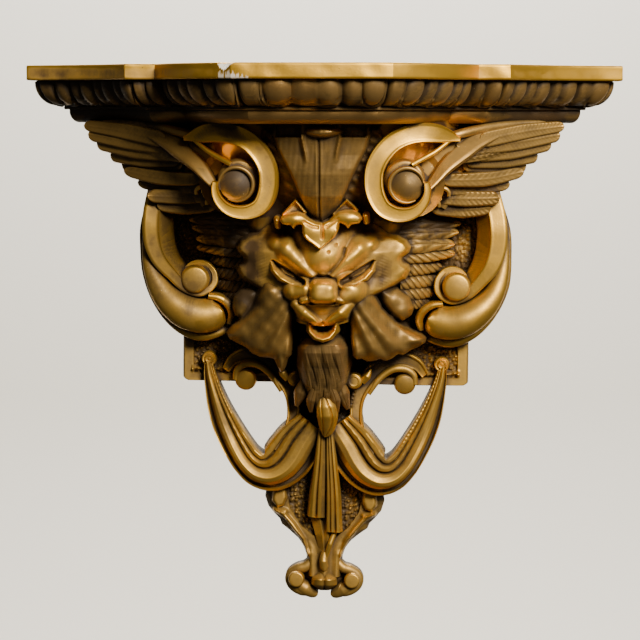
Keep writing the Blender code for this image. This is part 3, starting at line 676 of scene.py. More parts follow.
def wing_solids(side):
    """One wing: the arm, a rib under the shelf, five long feathers, the coverts, four short feathers
    below and a slope behind them all. On the left the cuts are about a third as deep."""
    cut = 1.0 if side > 0 else 0.35
    solids = [band([(76.7, -31), (83, -23.5), (91, -14), (102.5, -4.5), (115, 4), (131, 10.5),
                    (147, 14.5)], [2.4, 5.0, 6.8, 7.6, 6.4, 4.6, 2.6], [97, 93, 87, 79, 69, 57, 46],
                    arm_section, 130, 24, tip=0.12)]
    solids.append(band([(86, 2), (100, 8.5), (125, 14), (150, 16.5), (168, 17)], [3, 3.4, 3.2, 2.6, 1.6],
                       [84, 76, 60, 46, 36], rounded, 80, 12, tip=0.1))
    for root, bend, tip, half, crown in (
            ((104, -13), (130, -14), (152.5, -15), (6.4, 7.4, 6.0), (60, 46, 29)),
            ((106, -10), (134, -10), (161, -7.5), (6.6, 7.2, 5.4), (63, 47, 30)),
            ((109, -6), (140, -3.5), (171, 1.5), (6.6, 7.2, 5.4), (66, 48, 31)),
            ((112, -1), (146, 3), (177.5, 8), (6.4, 6.8, 5.0), (68, 49, 32)),
            ((116, 4), (150, 10.5), (180.5, 14.5), (6.4, 6.2, 4.0), (70, 50, 33))):
        solids.append(band([root, bend, tip], half, crown, shingle, 96, 20, vane(80, 3.4, 0.22 * cut),
                           root=0.1, tip=0.08))

    def coverts(t, u):
        """Rows across by a rectified sine, and cuts along by a cosine that steps half on from row to row."""
        across = 0.8 * np.abs(np.sin(2 * math.pi * (u * 2 + 0.25))) ** 0.6
        return cut * (across + 0.45 * np.cos(2 * math.pi * (t * 13 + 0.35 * u + 0.5 * np.floor(u * 4 + 4))))

    solids.append(band([(100, -4), (122, 1.5), (142, 5), (160, 9)], [9, 11.5, 9.5, 4], [78, 62, 50, 38],
                       lens, 110, 38, coverts, tip=0.16))
    for root, bend, tip, half, crown in (
            ((86, -32), (118, -31), (140, -28.5), (4.5, 5.4, 4.4), (66, 48, 34)),
            ((88, -25), (122, -24.5), (150.5, -19.5), (4.8, 5.6, 4.2), (72, 54, 33)),
            ((80, -46), (108, -47), (125, -45.5), (4.0, 6.4, 4.8), (60, 45, 44)),
            ((82, -38), (110, -39), (131.5, -38.5), (4.6, 6.0, 5.0), (64, 51, 49))):
        solids.append(band([root, bend, tip], half, crown, shingle, 84, 20, vane(46, 3.6, 0.22 * cut),
                           root=0.15, tip=0.12))
    solids.append(band([(80, -40), (92, -22), (118, -8), (150, 2)], [12, 20, 19, 9], [62, 54, 42, 25],
                       lens, 40, 16))
    return [tube(settled(solid, side)) for solid in solids]


# Painted shade: the wings' gilding is darker than the mask's, as the feathers face sideways and down.
wing_shaded_gilt = gilding("gilding_wings_shaded", (0.55, 0.318, 0.085), (0.29, 0.172, 0.044), (0.065, 0.036, 0.011),
                    wear_and_shade=-0.02)
cast("wings", wing_solids(1.0) + wing_solids(-1.0), wing_shaded_gilt)

# The mane
# Leafy feathers stand out sideways between the head and the side scrolls: broad ones under the
# wing, darkened there by painted shade, and below them finger-like ones with rope-like barbs.


def rope(length, pitch, deep):
    """Rope tooling: strands cross the whole width aslant, each one rounded with a sharp cut after it."""
    def tooling(t, u):
        return deep * (np.abs(np.sin(math.pi * (t * length + u * 3.2) / pitch)) ** 0.6 - 1)
    return tooling


def mane_solids():
    """On each side four broad feathers, scalloped by a rectified sine and cut down the middle, five
    finger-like ones with rope tooling, and two small curls above."""
    parts = []

    def broad(t, u):
        """Scallops by a rectified sine, aslant from a narrow cut down the middle."""
        return np.abs(np.sin(math.pi * (t * 4.2 + np.abs(u) * 0.9))) - 0.9 * swell(u, 0.09)

    for high, tip, half in ((-49.5, (99, -54), 6.0), (-57.5, (103, -58), 5.5), (-65, (101, -64), 6.0),
                            (-73, (98, -73), 6.0)):
        parts += both_sides(band([(44, high - 2), (74, high + 1), tip],
                                 [half - 1.5, half + 0.8, half - 2.4], [52, 46, 25], lens, 76, 20, broad,
                                 tip=0.2))
    for root, tip, half in (((58, -83), (98, -79.5), 3.8), ((58, -91.5), (88, -89.5), 4.6),
                            ((56, -101), (86, -99.5), 5.0), ((56, -110), (84, -108.5), 4.8),
                            ((58, -118), (80, -117), 3.8)):
        parts += both_sides(band([root, ((root[0] + tip[0]) / 2, root[1] + 1.2), tip],
                                 [half, half, half * 0.7], [50, 40, 24], rounded, 92, 18,
                                 rope(34, 5.2, 2.0), tip=0.12))
    for x, z, size in ((89, -35, 4.4), (82, -43, 3.8)):
        turn = np.radians(np.linspace(-20, 250, 8))
        parts += both_sides(band(np.column_stack([x + size * np.cos(turn), z + size * np.sin(turn)]),
                                 [1.2, 1.6, 1.5, 1.0], [73, 75, 73, 70], rounded, 50, 10))
    return parts


mane_gilt = gilding("gilding_mane", (0.92, 0.532, 0.115), (0.38, 0.225, 0.055), (0.06, 0.033, 0.0102),
                    wear_and_shade=0.0)
cast("mane_feathers", mane_solids(), mane_gilt)

# The side scrolls and horns
# Down each flank a flat band curls inwards round a disc, sloping off inside to the punched
# ground. Beside it a round horn swells from a thin start to a blunt end, inside a thin rim.


def scroll_fall(u):
    """Level outside, a sharp crest just past the middle, then a straight slope down."""
    return (np.where(u > -0.15, 0.12 * held((u - 0.85) / 0.15), 0.05 + 1.45 * (-0.15 - u) / 0.85)
            - 0.09 * swell(u + 0.12, 0.05))


def side_solids():
    """On each side the flat scroll, its ground and its disc, then the horn, the thin rim round it
    and a small hook under the scroll."""
    parts = both_sides(band([(122, -36), (125.5, -55), (125.5, -72), (121.5, -86), (113, -98), (104, -108),
                             (94.5, -112), (86, -107), (85.5, -99), (90, -93)],
                             [10.5, 11, 11, 11, 10, 8, 6.5, 4.5, 3.5, 2.5],
                             [38, 41, 43, 43, 43, 42, 41, 38, 36, 34], scroll_fall, 160, 24))
    parts += both_sides(boss(95.5, -102.0, 13.0, 34, lambda r: 0.02 * r, rings=10, sides=72))
    parts += both_sides(boss(98.4, -103.4, 10.8, 44, dished(0.12, 0.22, 0.8), sides=80))
    parts += both_sides(band([(134, -52), (135.5, -70), (133.8, -88), (129, -104), (120.5, -117),
                              (108, -127), (95, -131), (83, -129.5), (77, -127)],
                              [1.2, 2.2, 3.6, 5.6, 7.8, 10.4, 12.2, 12.6, 11.8],
                              [26, 31, 35, 40, 45, 49, 51, 50, 48], rounded, 160, 28, tip=0.075))
    parts += both_sides(band([(132.5, -40), (138, -62), (138.2, -80), (135.5, -102), (126.5, -122),
                              (112.5, -138), (96, -146), (80, -143.5), (72, -137)],
                              [1.6, 2.0, 2.4, 3.0, 3.8, 4.4, 4.6, 4.0, 2.6],
                              [19, 23, 26, 29, 31, 33, 34, 33, 30], rounded, 150, 12, tip=0.02))
    parts += both_sides(band([(88, -116), (80, -117.5), (73.5, -122), (70.5, -129), (72.5, -137)],
                             [1.8, 2.6, 3.0, 3.0, 2.2], [44, 44, 43, 41, 38], rounded, 70, 12))
    return parts


scroll_gilt = gilding("gilding_scrolls", (0.68, 0.39, 0.058), (0.27, 0.16, 0.039), (0.055, 0.0305, 0.0094),
                      wear_and_shade=0.04)
cast("side_scrolls", side_solids(), scroll_gilt)

# The acanthus leaf over the brow
# Wide under the shelf and narrow at the crown, with a cut middle vein, turned-back side edges and
# a rolled top that catches the light.


def leaf_relief():
    """Across, the body is a shallow dome with a vein cut down it; beyond its half width the turned
    edge drops to a crinkled margin. The roll is an oval dome, with hollows beside it."""
    z = np.linspace(BED_LINE + TUCK, -55, 150)[:, None]
    x = np.linspace(-44, 44, 160)[None, :]
    half = np.interp(-z, (-22, -8, 2, 12, 22, 34, 43, 49, 53, 55),
                     (36, 36, 33, 27.5, 22.5, 17.5, 13.5, 9.5, 4, 0.5))
    crest = np.interp(-z, (-16, -6, 20, 36, 46, 55), (117, 117, 112, 106, 97, 90))
    x = x + np.zeros_like(z)
    z = z + np.zeros_like(x)
    a = np.abs(x - 0.4) / half
    body = crest - 6 * a ** 2.5 - 1.8 * swell(x + 1.6, 0.55) + 0.6 * swell(np.abs(x + 1.6) - 1.9, 0.9)
    fold = np.interp(-z, (-6, 4, 12), (13.5, 11.5, 10.5))
    body = body + 2.4 * swell(np.abs(x) - fold, 1.3) * held((z + 12) / 8) * (z < 9)
    body = body - 2.2 * held((np.abs(x) - fold) / 3) * held((z + 16) / 10)
    margin = (crest - 15 - 0.9 * (np.abs(x) - half) + 1.6 * np.sin(z * 0.75 + x * 0.3)
              * swell(np.abs(x) - half - 3, 4))
    front = np.where(a < 1, body - 8 * held((a - 0.9) / 0.1) ** 2, np.maximum(margin, 60))
    pocket = held((z - 6.5) / 1.2) * held((np.abs(x) - 13.5) / 2) * held((34 - np.abs(x)) / 2)
    front = front - 4 * pocket
    front = np.maximum(front, 127 - 9 * (((x - 1.5) / 12.8) ** 2 + ((z - 10.8) / 4.4) ** 2) ** 1.5)
    front = front + 0.35 * wobble(x, z * 0.25, 1.7, 2.0)
    return np.stack([x, front, z], -1)


# Painted shade: the leaf's gilding is darker than the mask's, as it lies under the shelf.
leaf_shaded_gilt = gilding("gilding_leaf_shaded", (0.52, 0.3, 0.085), (0.25, 0.148, 0.04), (0.055, 0.03, 0.0094),
                    wear_and_shade=-0.02, freckles=1.0)
cast("brow_leaf", [tube(placed(walled(leaf_relief())))], leaf_shaded_gilt)

# The mask
# A leonine grotesque: brows drawn down into a frown, slanting eyes under them with rimmed lower
# lids, a square nose pad, two lip lobes, and an open mouth with the lower lip's edge in it.


def grid(left, right, columns, top, bottom, rows):
    """An even net of x and height, row by row from the top down."""
    z = np.linspace(top, bottom, rows)[:, None] + np.zeros((1, columns))
    x = np.linspace(left, right, columns)[None, :] + np.zeros((rows, 1))
    return x, z


def softened(front, passes):
    """Rubs a relief smooth: each pass averages every point with its neighbours, one to two to one,
    down and then across."""
    for _ in range(passes):
        padded = np.pad(front, 1, mode="edge")
        rows = (padded[:-2] + 2 * padded[1:-1] + padded[2:]) / 4
        front = (rows[:, :-2] + 2 * rows[:, 1:-1] + rows[:, 2:]) / 4
    return front


def bell(x, z, cx, cz, rx, rz, high, turn=0.0, power=2.0):
    """A soft mound: high times exp(-(r ** power)), r being 1 on the turned ellipse of radii rx, rz."""
    c, s = math.cos(math.radians(turn)), math.sin(math.radians(turn))
    u, v = (x - cx) * c + (z - cz) * s, (z - cz) * c - (x - cx) * s
    return high * np.exp(-np.sqrt((u / rx) ** 2 + (v / rz) ** 2) ** power)


def off_run(x, z, start, end):
    """How far along a straight run each point lies, from 0 to 1, and the square of its distance."""
    (ax, az), (bx, bz) = start, end
    t = held(((x - ax) * (bx - ax) + (z - az) * (bz - az)) / ((bx - ax) ** 2 + (bz - az) ** 2))
    return t, (x - ax - t * (bx - ax)) ** 2 + (z - az - t * (bz - az)) ** 2


def rib(x, z, line, wide, high, power=2.0):
    """A soft rib along a bent line: high times exp(-(distance / wide) ** power), the distance
    being to the nearest of its straight runs."""
    near = np.min([off_run(x, z, start, end)[1] for start, end in zip(line[:-1], line[1:])], axis=0)
    return high * np.exp(-(np.sqrt(near) / wide) ** power)


def inside(x, z, outline):
    """How far each point lies inside a closed outline: the distance to its nearest side, negative
    outside. A point is inside when a line drawn to its right crosses the sides an odd number of times."""
    near = np.full(np.broadcast(x, z).shape, 1e9)
    within = np.zeros(near.shape, bool)
    for (ax, az), (bx, bz) in zip(outline, [*outline[1:], outline[0]]):
        near = np.minimum(near, off_run(x, z, (ax, az), (bx, bz))[1])
        within ^= ((az > z) != (bz > z)) & (x < ax + (bx - ax) * (z - az) / (bz - az if bz != az else 1.0))
    return np.where(within, 1, -1) * np.sqrt(near)


def form(x, z, outline, high, edge):
    """A raised form with a quarter-round edge: high times the root of 1 - (1 - d) ** 2, d being the
    distance in from the outline over the edge's width, at most 1."""
    d = held(inside(x, z, outline) / edge)
    return high * np.sqrt(1 - (1 - d) ** 2)


def stand(front, x, z, outline, top, edge, drop):
    """Sets a form on a relief: inside the outline the front is at least top, less a quarter-round
    fall of drop towards the outline."""
    deep = inside(x, z, outline)
    fall = 1 - np.sqrt(1 - (1 - held(deep / edge)) ** 2)
    return np.where(deep > 0, np.maximum(front, top - drop * fall), front)


def ridge(x, z, line, radii, tops, fall, power=2.0):
    """A rounded ridge along a bent line: its top less fall times (distance / radius) ** power, the
    radius and the top running straight between the line's points."""
    best = np.full(np.broadcast(x, z).shape, -1e9)
    for k in range(len(line) - 1):
        t, off = off_run(x, z, line[k], line[k + 1])
        far = np.sqrt(off) / (radii[k] + t * (radii[k + 1] - radii[k]))
        best = np.maximum(best, tops[k] + t * (tops[k + 1] - tops[k]) - fall * far ** power)
    return best


def fused(front, added, blend):
    """The higher of two reliefs with the join filled to a curve as wide as the blend."""
    share = held(0.5 + 0.5 * (added - front) / blend)
    return front * (1 - share) + added * share + blend * share * (1 - share)


def mask_forms(x, z):
    """The large forms: an oval head that narrows to the chin, with the frown, the brows, the temples,
    the cheek lumps, the nose pad and the lip lobes fused on as ridges; a is the distance from the middle."""
    a = np.abs(x - 0.8)
    crest = np.interp(-z, (40, 52, 62, 70, 78, 88, 97, 106, 116, 124, 131, 152),
                      (66, 69, 70, 80, 85, 83, 80, 84, 83, 80, 78, 70))
    wide = np.interp(-z, (40, 52, 62, 80, 100, 112, 122, 135, 152), (50, 60, 69, 71, 66, 54, 36, 28, 25))
    h = 24 + (crest - 24) * held(1 - (a / wide) ** 3.0) ** 0.5
    for side in (-1, 1):
        b = (x - 0.8) * side
        h = fused(h, ridge(b, z, [(46, -70), (56, -75.5)], [12, 11], [69, 68], 8, 2.2), 6)
        h = fused(h, ridge(b, z, [(44, -95), (54, -92)], [12, 11], [67, 65], 8, 2.2), 6)
    h = fused(h, ridge(x, z, [(0.8, -68), (0.8, -79), (1, -94)], [20, 16.5, 6], [93, 98, 91], 11, 2.4), 5)
    h = fused(h, ridge(a, z, [(34, -72.5), (26, -75.5), (17.5, -84), (6.5, -95)], [7.5, 9, 7.6, 4.8],
                       [85, 92, 94, 92], 11, 2.2), 2.6)
    right = ridge(x, z, [(17, -100), (22.5, -105.5), (17, -109)], [8, 9.4, 7.4], [98, 98, 98], 11, 2.4)
    left = ridge(x, z, [(-12.5, -104.5), (-20.5, -106)], [8.4, 8.0], [98, 94], 11, 2.4)
    h = fused(fused(h, right, 3), left, 3)
    h = fused(h, ridge(a, z, [(19.5, -115.5), (13, -121.5), (4.5, -127.6)], [5.2, 6.4, 4.6], [91, 95, 92],
                       12, 2.4), 2)
    return h


def mask_details(h, x, z):
    """The sharper work over the large forms: sockets with lids and nested lines, creases beside the
    frown, the nose pad and its slots, the muzzle's dark underside, and the open mouth with its lip."""
    a = np.abs(x - 0.8)
    socket = ridge(a, z, [(37, -86), (31, -91.2), (23, -96.2), (15, -99.2)], [3.2, 4.8, 4.6, 2.6],
                   [-72, -72, -73, -77], 14, 2.6)
    h = -fused(-h, socket, 3)
    h = fused(h, ridge(a, z, [(29.5, -92.2), (22, -96.6)], [4.4, 3.8], [78, 79], 7), 1.5)
    h = fused(h, ridge(a, z, [(38.2, -85.5), (36.2, -91), (31, -96.6), (24, -100.4), (16, -101.8)],
                       [1.6, 2.3, 2.6, 2.3, 1.5], [80, 85, 88, 89, 90], 6), 1.2)
    for lower in (0.0, 2.3):
        line = [(33.5 - lower * 0.5, -90.6 + lower * 0.75), (28, -95.4 + lower * 0.9),
                (21.5, -98.4 + lower)]
        h = h + rib(a, z, line, 0.62, 2.6 - 0.5 * lower)
    h = h - rib(x, z, [(16.6, -75), (16, -80.5), (11.5, -86.5), (6.4, -92)], 1.5, 2.6)
    h = h - rib(a, z, [(9, -99), (4.6, -95.6), (-4.6, -95.6)], 1.1, 4.5)
    square = ((np.abs(x - 1.4) / (10.9 + 0.10 * (-z - 105))) ** 3.4
              + (np.abs(z + 105.8) / 9.0) ** 3.4) ** (1 / 3.4)
    h = fused(h, 106.5 + 0.05 * (z + 106) - 12 * square ** 5, 1.6)
    h = fused(h, ridge(a, z, [(11.5, -111.5), (14.5, -112.5)], [4.2, 3.6], [98, 97], 9), 1.5)
    under = softened(form(x, z, [(-12.5, -115.2), (14.2, -115.2), (12, -119), (6.0, -125), (3.6, -128.5),
                                 (-2.2, -128.5), (-4.6, -125), (-10.5, -119)], 1, 1.6), 3)
    h = h * (1 - under) + under * np.interp(-z, (115, 117, 124, 131), (97, 89, 84, 82))
    cavity = softened(form(x, z, [(-20.5, -130.8), (-10, -132.6), (0.6, -133.2), (12, -132.2),
                                  (21.2, -130.4), (22.4, -140), (22.5, -153), (-22.5, -153),
                                  (-21.8, -140)], 1, 1.0), 1)
    chin = held((-141.5 - z) / 7) ** 0.7 * held(1 - (a / 18.5) ** 4) ** 0.5
    h = h * (1 - cavity) + cavity * (44 + 24 * chin)
    lip = [(-9.6, -131.5), (-8.4, -136.6), (-4.4, -140.6), (0.7, -142), (5.8, -140.4), (9.6, -136.2),
           (10.8, -130.8)]
    h = fused(h, ridge(x, z, lip, [1.9, 2.2, 2.5, 2.6, 2.5, 2.2, 1.9], [82, 85, 87, 88, 87, 85, 82], 8),
              0.8)
    strands = swell(a - 44.5, 4.6) * swell(z + 92, 12, 4)
    h = h - strands * (0.12 - 0.12 * np.sin((z + 0.45 * a) * 2.6))
    for px, pz in ((10.9, -71.8), (5.5, -77.0)):
        h = h - bell(x, z, px, pz, 0.9, 0.9, 2.4)
    return h + 0.35 * wobble(x, z, 3.2, 1.0)


def mask_relief():
    """The forms, rubbed smooth, with the details over them. Towards the head's outline the front
    falls to the ground by a quarter round seven units wide."""
    x, z = grid(-69, 69, 290, -44, -152, 280)
    front = mask_details(softened(mask_forms(x, z), 3), x, z)
    outline = [(-20, -30), (30, -36), (42, -52), (50, -61.5), (57, -63.5), (64, -68), (68, -75), (66, -81),
               (62, -84.5), (66, -87), (68, -93), (64, -101), (55, -107), (44, -112), (34, -117),
               (26, -124), (23.5, -132), (23.5, -170), (-20, -170)]
    share = form(np.abs(x - 0.4), z, outline, 1, 7)
    front = 12 + (front - 12) * share
    return np.stack([x, np.maximum(front, 0.5), z], -1)


mask_gilt = gilding("gilding_mask", (1, 0.578, 0.085), (0.5, 0.296, 0.072), (0.085, 0.046, 0.0145),
                    wear_and_shade=0.08)
cast("mask", [tube(placed(walled(mask_relief())))], mask_gilt)

# The crown
# A pointed crown of two lobes sits on the brow: hollow spikes above, hooked notches below, and a
# V down the middle with a creased centre. A small upright knob stands at either end.


def crown_relief():
    """Two spikes with raised edges, and the crown's body over them as a form that falls ten units at
    its rim. Bells swell its lobes, ribs cut its creases and raise its edge, and a knob ends each side."""
    x, z = grid(-38, 38, 226, -36, -78, 136)
    front = np.full(x.shape, 62.0)
    front = stand(front, x, z, [(-30, -50.5), (-18.9, -37.6), (-10, -48.5), (-12, -51), (-18, -48.5),
                                (-26, -50.5)], 93, 2.4, 6)
    front = stand(front, x, z, [(7, -49.5), (18.2, -37.6), (27.5, -46.5), (26, -49), (18, -47.5),
                                (11, -50.5)], 93, 2.4, 6)
    front = softened(front, 1)
    for line in ([(-29, -49.6), (-18.9, -38.9), (-11.6, -47.8)],
                 [(8.2, -48.6), (18.2, -38.9), (25.8, -45.4)]):
        front = front + rib(x, z, line, 1.0, 7.5)
    outline = [(-29.8, -51), (-24.5, -48.6), (-17.5, -47.2), (-12.5, -48.6), (-9, -52), (-4, -54.4),
               (0.6, -55), (5, -53.4), (8.8, -49.4), (12.5, -46.8), (17.5, -45.8), (23.5, -46.2),
               (28, -48.6), (30.4, -52), (28, -56.2), (22, -57.2), (19.6, -60.4), (17, -57.6), (13.8, -56),
               (13.2, -60), (10.4, -66), (4.4, -71), (-0.8, -76), (-6.4, -71.6), (-11.6, -67.8),
               (-14.6, -62.5), (-14.6, -57.4), (-17.5, -57.6), (-20.2, -60.8), (-22.8, -57.8),
               (-28, -57.4), (-31, -54.5)]
    front = softened(stand(front, x, z, outline, 104, 2.8, 10), 2)
    raised = front > 84
    front = (front + (bell(x, z, -19, -52.6, 7, 4.4, 3.2) + bell(x, z, 20, -51.6, 7.4, 4.4, 3.2)
                      + bell(x, z, -6.4, -61.5, 6.5, 5.5, 1.8) + bell(x, z, 7, -60.5, 6.5, 5.5, 1.8))
                      * raised)
    front = (front - rib(x, z, [(0.6, -56.5), (0.9, -66)], 1.0, 2.8)
             - rib(x, z, [(-12, -55), (-7, -57.5), (-2.5, -58.5)], 1.2, 1.5)
             - rib(x, z, [(4, -58), (8, -55), (12, -52.6)], 1.2, 1.5))
    front = (front + rib(x, z, [(-12.2, -64.5), (-9.4, -67.6), (-0.8, -74.2), (8.6, -66.6), (11.4, -61)],
                         1.0, 1.8) * raised)
    front = (front + rib(x, z, [(-9.2, -51.4), (-4.2, -53.8), (0.6, -54.4), (4.9, -52.8), (8.6, -48.8)],
                         0.8, 3.4) * raised)
    for kx, kz in ((-32.6, -56.4), (32.2, -53)):
        front = fused(front, ridge(x, z, [(kx, kz + 2.4), (kx + 0.4, kz - 2)], [2.6, 2.4], [97, 94], 12,
                                   3.0), 1)
    return np.stack([x, front, z], -1)


cast("crown", [tube(placed(walled(crown_relief(), 30.0)))], mask_gilt)

# The cheek leaves
# A smooth leaf sweeps from beside the nose down and outward on each side and ends in scallops,
# with a smaller leaf tucked behind it at the temple.


def cheek_relief(side, leaf, tucked):
    """Each leaf is a form that falls outward and down; its folds are two sines of the angle about
    the nose, swelling towards the edge, with one sharper crease."""
    x, z = grid(17, 82, 126, -97, -175, 136)
    fan = np.arctan2(-84 - z, x - 2)
    reach = np.hypot(x - 2, z + 84)
    front = np.full(x.shape, 12.0)
    front = stand(front, x, z, tucked, 61 - 0.30 * (x - 50), 9, 16)
    body = (90 - 0.42 * (x - 18) - 0.26 * (-105 - z)
            + (1.6 * np.sin(fan * 15.5 - 1.0) + 1.7 * np.sin(fan * 36 + 0.6)) * held((reach - 30) / 40))
    body = body - 1.5 * swell(fan - 1.0, 0.03) * held((reach - 30) / 25)
    front = softened(stand(front, x, z, leaf, body, 13, 19), 5)
    return np.stack([x * side, front + 0.5 * wobble(x, z, 4.0, 5.0 + side), z], -1)


right_leaf = [(19, -108), (24, -103), (31, -101.5), (37, -105), (41, -112), (45, -120.5), (52, -128),
              (60, -134), (67, -138), (75, -140.5), (79, -144), (77.5, -149), (71, -153), (66, -155),
              (61, -158), (57, -157), (52, -161), (47, -162.4), (43, -160.5), (38, -162.6), (33, -162.4),
              (29, -160), (25, -160.5), (21.6, -157), (20.6, -148), (20.2, -134), (19, -120)]
right_tucked = [(38, -101), (48, -105), (56, -104.5), (66, -112), (69.5, -121), (67, -128), (60, -132.5),
                (52, -128), (44, -118)]
left_leaf = [(19, -110), (25, -105), (32, -100.5), (39, -97.6), (45, -99.5), (48, -108), (51, -117),
             (57, -125), (63, -130), (69, -134.5), (74, -141), (71, -146.5), (64, -150.5), (58, -152.6),
             (53.6, -157), (47, -160), (41.6, -159.6), (37.4, -160.6), (35, -166), (31, -172),
             (27.6, -167), (25.6, -160), (22.6, -157), (21.6, -148), (21.4, -134), (19, -121)]
left_tucked = [(44, -103), (54, -104), (62, -106), (68, -112), (69.5, -121), (67, -129), (60, -131),
               (52, -124), (46, -114)]
# Painted shade: the cheek leaves' gilding is darker than the mask's, as they face sideways and down.
cheek_shaded_gilt = gilding("gilding_cheeks_shaded", (0.5, 0.29, 0.08), (0.24, 0.142, 0.036), (0.05, 0.0275, 0.0085),
                     wear_and_shade=0.0, freckles=1.0)
cheeks = [tube(placed(walled(cheek_relief(1, right_leaf, right_tucked)))),
          tube(placed(walled(cheek_relief(-1, left_leaf, left_tucked))))]
cast("cheek_leaves", cheeks, cheek_shaded_gilt)

# The beard
# A leaf of narrow plaster locks that hangs from the chin and tapers to the knot. Four small leaf
# tips were cut at its end.


def beard_relief():
    """Rows down the beard; the locks are a rectified sine across that sways with height, and a
    second, finer one for the strands."""
    z = np.linspace(-139.5, -200, 104)[:, None]
    share = np.linspace(-1, 1, 100)[None, :]
    half = np.interp(-z, (139.5, 144, 150, 165, 178, 190, 200), (12.5, 17.5, 22.2, 22.6, 20, 14, 7))
    x = half * share
    z = z + np.zeros_like(x)
    depth = np.interp(-z, (139.5, 142, 147, 153, 165, 185, 200), (60, 74, 80, 78, 67, 54, 44))
    sway = x + 1.8 * np.sin(z / 6.5) + 0.8 * np.sin(z / 2.7 + x)
    deep = held((-146 - z) / 14)
    locks = (deep * (2.0 * np.abs(np.sin(math.pi * sway / 9.0)) ** 0.8
                     + 0.6 * np.abs(np.sin(math.pi * sway / 2.6 + 0.7 * np.sin(z / 4)))))
    front = held(1 - np.abs(share) ** 5) ** 0.5 * (depth - 2 + locks)
    return np.stack([x + 0.8, np.maximum(front, 0.5), z], -1)


def beard_tips():
    """Four rounded strips, each with a narrow bell cut down its middle."""
    solids = []
    for line, half, crown in (([(11, -176), (15, -188), (19, -199)], [4, 5.5, 1.5], [50, 47, 38]),
                              ([(-12, -176), (-17, -187), (-20, -197)], [4, 5.5, 1.5], [50, 47, 38]),
                              ([(7, -182), (10, -192), (11, -201)], [3, 3.6, 1.2], [56, 52, 42]),
                              ([(-6, -182), (-9, -192), (-9, -201)], [3, 3.6, 1.2], [56, 52, 42])):
        solids.append(tube(placed(band(line, half, crown, rounded, 60, 18,
                                       lambda t, u: -0.8 * swell(u, 0.1)))))
    return solids


beard_gilt = gilding("gilding_beard", (0.44, 0.254, 0.09), (0.22, 0.13, 0.038), (0.045, 0.025, 0.008),
                     wear_and_shade=-0.06, freckles=0.7)
cast("beard", [tube(placed(walled(beard_relief())))] + beard_tips(), beard_gilt)

# The swags
# Gathered cloth hangs from a ringed knob on each side and runs in to the middle knot. An arched
# scroll springs over each opening, with a hanging disc at its end.
FOLDS = np.array(((-1, 0.5), (-0.95, 0.2), (-0.9, 0.22), (-0.83, 0.8), (-0.68, 0.8), (-0.6, 0.36),
                  (-0.42, 0.08), (-0.2, 0.0), (0.05, 0.1), (0.17, 0.2), (0.23, 0.48), (0.31, 0.26),
                  (0.46, 0.16), (0.56, 0.26), (0.62, 0.5), (0.69, 0.34), (0.84, 0.3), (0.92, 0.42),
                  (1, 0.8))).T


def swag_section(u):
    """The cloth's folds across: a rim on the outer edge, a deep trough, the broad main fold and
    two smaller ones inside it, as heights joined by straight runs."""
    return np.interp(-u, FOLDS[0], FOLDS[1])


